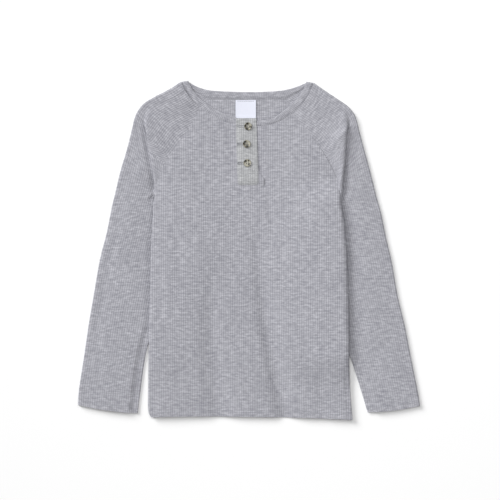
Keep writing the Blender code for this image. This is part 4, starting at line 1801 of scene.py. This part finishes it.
@dataclass(frozen=True)
class Neckband:
    """The neckband: a rib strip folded in two along its free edge."""

    lay: Lay
    front_steps: int = 26
    shoulder_steps: int = 14
    back_steps: int = 40
    turn_steps: int = 6
    # Its section: half its height, its puff, and where its free edge folds over.
    half: float = 0.55
    shell: float = 0.7
    puff: float = 0.25
    layer_steps: int = 10
    fold_steps: int = 7
    fold_start: float = 0.9
    fold_centre: float = 0.93
    fold_reach: float = 0.05
    sewn_share: float = 0.35
    back_step: float = -0.3

    def neck_ends(self, side: Side) -> tuple[Array, Array]:
        """Where the sleeve's neck edge starts at the front and ends at the back."""
        row = RAGLAN[side][-1]
        return np.array((row.front_x, row.front_y)), np.array((row.back_x, row.back_y))

    def neck_y(self, x: Array, front: bool) -> Array:
        """Y of the neck seam.

        Args:
            x: Points' x.
            front: Whether it is the front's seam, or the back's.

        Returns:
            The seam's y at each point.
        """
        right, left = (self.neck_ends(side)[0 if front else 1] for side in Side)
        across = (x - right[0]) / (left[0] - right[0])
        sag = FRONT_SAG[-1] if front else BACK_SAG[-1]
        bow = 1.0 - np.abs(2.0 * across - 1.0) ** NECK_SHAPE
        return right[1] + (left[1] - right[1]) * across - sag * bow

    def reach(self, reaches: Sequence[Reach], shares: Array) -> Array:
        """The band's reach along a stretch, from its table."""
        return smooth_rows(table_of(reaches, "x", "y"), shares * (len(reaches) - 1))

    def fold(self, side: Side) -> tuple[Array, Array, float]:
        """The band's turn at the shoulder.

        Args:
            side: Which shoulder.

        Returns:
            The turn's centre, the way out of it and its radius.
        """
        row, below = RAGLAN[side][-1], RAGLAN[side][-2]
        edge = np.array((row.edge_x, row.edge_y))
        top = float(self.lay.front(row.front_x, row.front_y))
        run = np.array((below.edge_x, below.edge_y)) - edge
        run /= np.linalg.norm(run)
        sleeve_out = np.array((-run[1], run[0])) * side.value
        centre = edge - sleeve_out * (CLOTH / 2.0 + (top - FLOOR_LAYER) / 2.0)
        reach = BAND_SHOULDER[side][-1]
        out = np.array((-reach.y, reach.x)) * -side.value / math.hypot(reach.x, reach.y)
        return centre, out, (top - BAND_BACK_Z) / 2.0

    def front_half(self, side: Side) -> Array:
        """Stations from the placket to the shoulder's fold.

        Args:
            side: Which half of the front.

        Returns:
            Rows of x, y, z and the reach to the free edge.
        """
        front_end, _ = self.neck_ends(side)
        shares = np.arange(self.front_steps) / self.front_steps
        xs = BAND_ENDS[side] + (front_end[0] - BAND_ENDS[side]) * shares
        ys = self.neck_y(xs, True)
        reach = self.reach(BAND_FRONT[side], shares)
        chest = np.column_stack((xs, ys, self.lay.front(xs, ys), reach))
        centre, out, radius = self.fold(side)
        shares = np.linspace(0.0, 1.0, self.shoulder_steps + 1)
        spots = bowed(front_end, centre, NECK_BULGE, shares)
        top = np.full(len(shares), BAND_BACK_Z + 2.0 * radius)
        shoulder = np.column_stack((spots, top, self.reach(BAND_SHOULDER[side], shares)))
        angles = math.pi * np.arange(1, self.turn_steps) / self.turn_steps
        turn = np.column_stack((
            centre + out * (radius * np.sin(angles))[:, None],
            BAND_BACK_Z + radius * (1.0 + np.cos(angles)),
            np.tile(BAND_SHOULDER[side][-1], (len(angles), 1))))
        return np.vstack((chest, shoulder, turn))

    def back_half(self) -> Array:
        """Stations across the back, from fold to fold.

        Returns:
            Rows of x, y, z and the reach in x and y.
        """
        right, left = (self.fold(side)[0] for side in Side)
        right_end, left_end = (self.neck_ends(side)[1] for side in Side)
        shares = np.arange(self.shoulder_steps)[:, None] / self.shoulder_steps
        xs = np.linspace(right_end[0], left_end[0], self.back_steps + 1)
        line = np.vstack((
            right + (right_end - right) * shares,
            np.column_stack((xs, self.neck_y(xs, False))),
            (left + (left_end - left) * shares)[::-1]))
        run = run_along(line)
        edge = np.vstack((
            right + BAND_SHOULDER[Side.RIGHT][-1], table_of(BAND_EDGE, "x", "y"),
            left + BAND_SHOULDER[Side.LEFT][-1]))
        reach = smooth_rows(edge, run / run[-1] * (len(edge) - 1)) - line
        return np.column_stack((line, np.full(len(line), BAND_BACK_Z), reach))

    def section(self) -> Array:
        """The folded band's section, from its lower layer round to its upper one.

        Returns:
            Rows of the share of its reach, and height off its middle.
        """
        turn = np.linspace(-math.pi / 2.0, math.pi / 2.0, self.fold_steps)
        shares = np.linspace(0.0, self.fold_start, self.layer_steps)
        fold = np.column_stack((
            self.fold_centre + self.fold_reach * np.cos(turn), self.half * np.sin(turn)))
        lower = np.column_stack((shares, np.full(self.layer_steps, -self.half)))
        swell = self.half * ease(shares / self.sewn_share) + self.puff * np.sin(math.pi * shares)
        upper = np.column_stack((shares, swell))[::-1]
        return np.vstack((lower, fold, upper))

    def build(self, finish: Material) -> Object:
        """Makes the band.

        Args:
            finish: The band's knit.

        Returns:
            The band.
        """
        line = np.vstack((
            self.front_half(Side.RIGHT), self.back_half(), self.front_half(Side.LEFT)[::-1]))
        reach = line[:, 3:5]
        lengths = np.linalg.norm(reach, axis=1, keepdims=True)
        section = self.section()
        start = line[:, 0:2] + reach * BAND_GAP / lengths
        spots = start[:, None, :] + reach[:, None, :] * section[None, :, 0:1]
        heights = line[:, 2][:, None] + section[None, :, 1]
        # Its upper layer starts level with the panel that it is sewn to.
        levels = (BAND_BACK_Z, BAND_BACK_Z + BAND_LEVEL_RUN)
        drop = np.interp(line[:, 2], levels, (self.back_step, 0.0))
        above = section[:, 1] > -self.half
        heights += drop[:, None] * above * (1.0 - ease(section[:, 0] / self.sewn_share))
        points = np.dstack((spots, heights))
        across = arc_lengths(points, 1)
        run = run_along((points[:, 0] + points[:, len(section) // 2]) / 2.0)
        grain = np.stack((np.broadcast_to(run[:, None], across.shape), across), axis=2)
        piece = grid_object("neckband_rib", points, grain, finish, self.shell)
        return settle(piece, ["neckband"])


# ---------------------------------------------------------------- placket, label, buttons


@dataclass(frozen=True)
class PlacketStrip:
    """A strip of the placket: knit folded round its edges and laid on the front."""

    front: BodyPanel
    node: str
    rows: tuple[Strip, ...]
    lift: float
    flush: float
    spacing: float = 1.5
    width: float = 28.0
    shell: float = 0.9
    edge_dip: float = 0.25
    dip_width: float = 0.8
    sink: float = 4.0
    sink_top: float = 164.0
    sewing_step: float = 2.0

    def heights(self, x: Array, y: Array, left: Array | float) -> Array:
        """Height of the strip's middle: its left edge and its foot are pressed flush.

        Args:
            x: Points' x.
            y: Points' y.
            left: X of the strip's left edge beside them.

        Returns:
            The height at each point.
        """
        level = ease((y - self.sink_top) / self.sink)
        raised = np.maximum(level, ease((x - left) / self.sink))
        raised = raised * ease((y - self.rows[-1].y) / self.sink)
        return self.front.lay.front(x, y) + (self.flush + (self.lift - self.flush) * raised)

    def points(self) -> Array:
        """The strip's grid, top first.

        Returns:
            A row of points at each level.
        """
        table = table_of(self.rows, "y", "left", "right")
        places = steps_between(table[:, 0:1], self.spacing)
        grid = []
        for level, left, right in straight_rows(table, places):
            x = np.linspace(left, right, math.ceil(self.width / self.spacing))
            y = np.full_like(x, level)
            dip = self.edge_dip * bell(right - x, self.dip_width)
            grid.append(np.column_stack((x, y, self.heights(x, y, left) - dip)))
        return np.array(grid)

    def line(self, spots: Sequence[Corner]) -> Array:
        """A sewing line on the strip's face.

        Args:
            spots: The line's corners.

        Returns:
            Its points.
        """
        table = table_of(spots, "x", "y")
        x, y = straight_rows(table, steps_between(table, self.sewing_step)).T
        left = np.interp(-y, [-row.y for row in self.rows], [row.left for row in self.rows])
        return np.column_stack((x, y, self.heights(x, y, left) + self.shell / 2.0))

    def build(self, finish: Material) -> Object:
        """Makes the strip.

        Args:
            finish: The knit.

        Returns:
            The strip.
        """
        points = self.points()
        piece = grid_object(
            self.node + "_strip", points, points[:, :, :2].copy(), finish, self.shell)
        return settle(piece, [self.node])

    def sew(self, lines: Sequence[Sequence[Corner]], thread: Material) -> Object:
        """Sews the strip on: its edges, and the box and point at its foot.

        Args:
            lines: Corners of each line.
            thread: The thread's material.

        Returns:
            The stitching.
        """
        sewing = Sewing(self.node + "_stitching", thread)
        for spots in lines:
            sewing.sew(StitchRow(pitch=2.6, length=2.1), self.line(spots))
        return sewing.finish_off()


@dataclass(frozen=True)
class Buttonhole:
    """A worked buttonhole: a bead of close stitches round a slit."""

    length: float = 13.5
    half_width: float = 1.1
    points: int = 12
    bar: StitchRow = StitchRow(pitch=0.62, length=0.6, radius=0.42)
    tack_radius: float = 0.3

    def build(self, name: str, centre: Array, thread: Material) -> Object:
        """Works the buttonhole.

        Args:
            name: The piece's name.
            centre: Its middle, on the placket's face.
            thread: The thread's material.

        Returns:
            The piece.
        """
        sewing = Sewing(name, thread)
        tack = StitchRow(pitch=0.55, length=2.0 * self.half_width, radius=self.tack_radius)
        across = np.array(((0.0, -1.0, 0.0), (0.0, 1.0, 0.0))) * self.half_width
        level = np.zeros(self.points)
        for end in (-1.0, 1.0):
            xs = np.linspace(0.0, self.length / 2.0, self.points) * end
            for row in (-1.0, 1.0):
                side = np.column_stack((xs, level + row * self.half_width, level))
                sewing.sew(self.bar, centre + side)
            sewing.sew(tack, centre + np.array((end * self.length / 2.0, 0.0, 0.0)) + across)
        return sewing.finish_off()


@dataclass(frozen=True)
class NeckLabel:
    """The blank label sewn inside the back, a ribbon folded over at its foot."""

    width: float = 27.4
    x: float = -4.4
    top: float = 202.2
    foot: float = 173.5
    fold_y: float = 181.0
    fold_run: float = 1.2
    fold_rise: float = 0.25
    columns: int = 25
    rows: int = 28
    shell: float = 0.35
    height: float = 2.25
    curl: float = 0.25
    top_dip: float = 0.35
    dip_width: float = 1.6
    seam_margin: float = 1.0
    seam_drop: float = 1.4
    seam_points: int = 20

    def build(self, finish: Material) -> Object:
        """Makes the label.

        Args:
            finish: The ribbon.

        Returns:
            The label.
        """
        x, y = np.meshgrid(self.x + self.width * np.linspace(-0.5, 0.5, self.columns),
                           np.linspace(self.top, self.foot, self.rows))
        curl = self.curl * (np.abs(x - self.x) / (self.width / 2.0)) ** 3
        step = self.fold_rise * ease((y - self.fold_y + self.fold_run / 2.0) / self.fold_run)
        dip = self.top_dip * bell(y - self.top, self.dip_width)
        points = np.dstack((x, y, self.height + curl - step - dip))
        piece = grid_object(
            "neck_label_ribbon", points, points[:, :, :2].copy(), finish, self.shell)
        return settle(piece, ["neck_label"])

    def sew(self, thread: Material) -> Object:
        """Sews the label's top edge to the band's seam.

        Args:
            thread: The thread's material.

        Returns:
            The stitching.
        """
        reach = self.width / 2.0
        xs = np.linspace(self.x - reach + self.seam_margin, self.x + reach - self.seam_margin,
                         self.seam_points)
        level = np.full(self.seam_points, self.top - self.seam_drop)
        path = np.column_stack((xs, level, np.full(self.seam_points, self.height)))
        return Sewing("neck_label_stitching", thread).sew(StitchRow(), path).finish_off()


class Ring(NamedTuple):
    """A ring of a button's section: its radius and height."""

    radius: float
    height: float


@dataclass(frozen=True)
class ShirtButton:
    """A four-hole shirt button, turned with a rim and a dished face, sewn through."""

    number: int
    x: float
    y: float
    base: float
    finish: HornEffectPolyester
    rings: tuple[Ring, ...] = (
        Ring(4.3, 0.0), Ring(4.9, 0.2), Ring(5.15, 0.6), Ring(5.2, 1.0), Ring(5.15, 1.4),
        Ring(4.9, 1.75), Ring(4.6, 1.95), Ring(4.3, 1.9), Ring(4.0, 1.6), Ring(3.7, 1.4),
        Ring(3.1, 1.3), Ring(1.6, 1.25),
    )
    sides: int = 56
    crisp_from: float = 40.0
    hole_radius: float = 0.75
    hole_offset: float = 1.35
    drill_length: float = 8.0
    drill_sides: int = 20
    strands: tuple[float, ...] = (-0.28, 0.0, 0.28)
    strand_radius: float = 0.26

    @property
    def name(self) -> str:
        """The button's node."""
        return f"button_{self.number}"

    def build(self, thread: Material) -> list[Object]:
        """Makes the button and the thread that holds it.

        Args:
            thread: The thread's material.

        Returns:
            The button and its thread.
        """
        model = bmesh.new()
        angles = [2.0 * math.pi * step / self.sides for step in range(self.sides)]
        add_rings(model, [
            np.array([(row.radius * math.cos(a), row.radius * math.sin(a), row.height)
                      for a in angles]) for row in self.rings])
        turned = self.link("turned", model)
        drill = self.link("drill", self.drill())
        holes = turned.modifiers.new("holes", "BOOLEAN")
        holes.object = drill
        holes.operation = "DIFFERENCE"
        bpy.context.view_layer.update()
        drilled = bpy.data.meshes.new_from_object(
            turned.evaluated_get(bpy.context.evaluated_depsgraph_get()))
        turned.modifiers.clear()
        turned.data = drilled
        bpy.data.objects.remove(drill, do_unlink=True)
        drilled.shade_smooth()
        drilled.set_sharp_from_angle(angle=math.radians(self.crisp_from))
        drilled.materials.clear()
        drilled.materials.append(self.finish.build())
        return [settle(turned, [self.name]), self.sew(thread)]

    def link(self, part: str, model: Model) -> Object:
        """Puts a model at the button's place.

        Args:
            part: What it is, for its name.
            model: The model.

        Returns:
            The object.
        """
        name = f"{self.name}_{part}"
        made = put(name, mesh_of(name, model))
        made.location = (self.x * MM, self.y * MM, self.base * MM)
        return made

    def drill(self) -> Model:
        """The cutter for the four holes.

        Returns:
            A rod for each hole.
        """
        model = bmesh.new()
        radius = self.hole_radius * MM
        for x in (-self.hole_offset, self.hole_offset):
            for y in (-self.hole_offset, self.hole_offset):
                bmesh.ops.create_cone(
                    model, cap_ends=True, segments=self.drill_sides, radius1=radius,
                    radius2=radius, depth=self.drill_length * MM,
                    matrix=Matrix.Translation((x * MM, y * MM, 0.0)))
        return model

    def sew(self, thread: Material) -> Object:
        """Sews the button on with two bars of thread.

        Args:
            thread: The thread's material.

        Returns:
            The thread.
        """
        sewing = Sewing(self.name + "_thread", thread)
        centre = np.array((self.x, self.y, self.base + self.rings[-1].height))
        reach = 2.0 * self.hole_offset
        bar = StitchRow(pitch=3.0 * reach, length=reach, radius=self.strand_radius)
        for x in (-self.hole_offset, self.hole_offset):
            for strand in self.strands:
                sewing.sew(bar, centre + np.array((
                    (x + strand, -self.hole_offset, 0.0), (x + strand, self.hole_offset, 0.0))))
        return sewing.finish_off()


# ---------------------------------------------------------------- studio


@dataclass(frozen=True)
class Studio:
    """A white table in soft daylight, seen from straight above with a long lens."""

    view_width: float = 0.675
    view_x: float = 0.00135
    camera_height: float = 3.2
    sensor: float = 36.0
    floor_size: float = 6.0
    floor_drop: float = 0.0003
    sun_azimuth: float = 140.0
    sun_elevation: float = 29.0
    sun_width: float = 30.0
    sun_strength: float = 2.6
    sky: float = 0.235
    box_place: tuple[float, float, float] = (0.0, 0.35, 2.2)
    box_size: float = 1.4
    box_power: float = 25.0

    def build(self) -> None:
        """Lays the table, hangs the lights and places the camera."""
        model = bmesh.new()
        bmesh.ops.create_grid(model, x_segments=1, y_segments=1, size=self.floor_size / 2.0)
        mesh = mesh_of("table", model)
        mesh.materials.append(MattBoard().build())
        table = put("table", mesh)
        table.location.z = -self.floor_drop
        self.sun()
        self.light_box()
        world = bpy.data.worlds.new("daylight")
        world.use_nodes = True
        background = world.node_tree.nodes["Background"]
        background.inputs["Color"].default_value = (1.0, 1.0, 1.0, 1.0)
        background.inputs["Strength"].default_value = self.sky
        bpy.context.scene.world = world
        bpy.context.scene.view_settings.view_transform = "Standard"
        self.camera()

    def sun(self) -> None:
        """Hangs the soft key light, up and to the left."""
        lamp = bpy.data.lights.new("window", "SUN")
        lamp.energy = self.sun_strength
        lamp.angle = math.radians(self.sun_width)
        azimuth = math.radians(self.sun_azimuth)
        level = math.cos(math.radians(self.sun_elevation))
        aim = Vector((-level * math.cos(azimuth), -level * math.sin(azimuth),
                      -math.sin(math.radians(self.sun_elevation))))
        put("window", lamp).rotation_euler = aim.to_track_quat("-Z", "Y").to_euler()

    def light_box(self) -> None:
        """Hangs the broad overhead lamp, a little towards the collar."""
        lamp = bpy.data.lights.new("light box", "AREA")
        lamp.energy = self.box_power
        lamp.size = self.box_size
        hung = put("light box", lamp)
        hung.location = self.box_place
        hung.rotation_euler = (-Vector(self.box_place)).to_track_quat("-Z", "Y").to_euler()

    def camera(self) -> None:
        """Hangs the camera over the shirt."""
        lens = bpy.data.cameras.new("camera")
        lens.sensor_width = self.sensor
        lens.lens = self.sensor * self.camera_height / self.view_width
        hung = put("camera", lens)
        hung.location = (self.view_x, 0.0, self.camera_height)
        bpy.context.scene.camera = hung


# ---------------------------------------------------------------- the shirt


# Soft creases, how each sleeve lies, and the dark patches in each button's resin.
FRONT_CREASES = (
    Crease(12.0, 122.0, 27.0, 74.0, -0.8, 3.6),
    Crease(24.0, 92.0, 34.0, 4.0, -0.9, 4.2),
    Crease(-95.0, 62.0, -93.0, -72.0, -0.45, 7.0),
    Crease(97.0, -124.0, 99.0, -300.0, -0.8, 8.0),
)
SLEEVE_CREASES = {
    Side.RIGHT: (
        Crease(-190.0, -10.0, -209.0, -130.0, -0.9, 6.0),
        Crease(-146.6, 190.0, -119.8, 36.0, -1.9, 3.2),
    ),
    Side.LEFT: (
        Crease(150.0, -120.0, 190.0, -190.0, -0.6, 9.0),
        Crease(84.0, 170.0, 122.0, 84.0, -1.2, 11.0),
        Crease(134.2, 176.0, 127.2, 60.0, -1.5, 2.8),
    ),
}
SLEEVE_LAY = {
    Side.RIGHT: {"pleat_layer": 2.4, "roll": 2.4},
    Side.LEFT: {"pleat_layer": 3.1, "pleat_ease": 2.0, "roll_share": 0.4, "climb_power": 4.0},
}
STAINS = (
    (Patch(-3.3, 0.3, 1.9), Patch(-1.0, 3.3, 1.9), Patch(-1.5, -3.0, 1.9), Patch(3.8, -1.1, 1.4)),
    (Patch(-2.6, 2.4, 2.2), Patch(0.4, -2.8, 2.3), Patch(-3.6, 0.0, 1.6)),
    (Patch(-2.9, 2.6, 1.8), Patch(2.2, -1.9, 1.5), Patch(1.8, 3.5, 0.9)),
)


def main() -> None:
    """Builds the shirt and the studio, piece by piece."""
    logging.basicConfig(level=logging.INFO, format="%(name)s: %(message)s")
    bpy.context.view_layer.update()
    lay = Lay()
    knit = MarlRibKnit("marl rib knit").build()
    band_knit = MarlRibKnit("marl band rib", rib_mm=2.4, course_mm=1.9).build()
    thread = SpunThread().build()
    button_thread = SpunThread("spun button thread", "#95948A", "#77766D").build()
    front = BodyPanel(lay, True, FRONT_CREASES)
    for panel in (front, BodyPanel(lay, False)):
        panel.build(knit)
        panel.sew_hem(thread)
    for side in Side:
        sleeve = Sleeve(lay, side, SLEEVE_CREASES[side], **SLEEVE_LAY[side])
        sleeve.build(knit)
        sleeve.sew_cuff(thread)
    Neckband(lay).build(band_knit)
    # A lighter copy of the body's knit, so that the raised placket is painted brighter than the
    # front: painted light.
    placket_knit_painted_lighter = MarlRibKnit(
        "marl placket knit", pale="#C2C3C5", middle="#A9AAAC", dark="#8F9093").build()
    PlacketStrip(front, "placket_under", PLACKET_UNDER, UNDER_LIFT, flush=0.1).build(knit)
    placket = PlacketStrip(front, "placket", PLACKET, PLACKET_LIFT, flush=0.3)
    placket.build(placket_knit_painted_lighter)
    placket.sew(PLACKET_SEWING, thread)
    label = NeckLabel()
    label.build(SatinRibbon().build())
    label.sew(thread)
    for number, (spot, stains) in enumerate(zip(BUTTONS, STAINS), start=1):
        face = float(lay.front(spot.x, spot.y)) + PLACKET_LIFT + STRIP_CLOTH / 2.0
        horn = HornEffectPolyester(f"horn-effect polyester {number}", stains)
        ShirtButton(number, spot.x, spot.y, face + BUTTON_GAP, horn).build(button_thread)
        hole = np.array((spot.x - HOLE_SHIFT, spot.y, face - HOLE_SINK))
        Buttonhole().build(f"buttonhole_{number}", hole, thread)
    Studio().build()


if __name__ == "__main__":
    main()
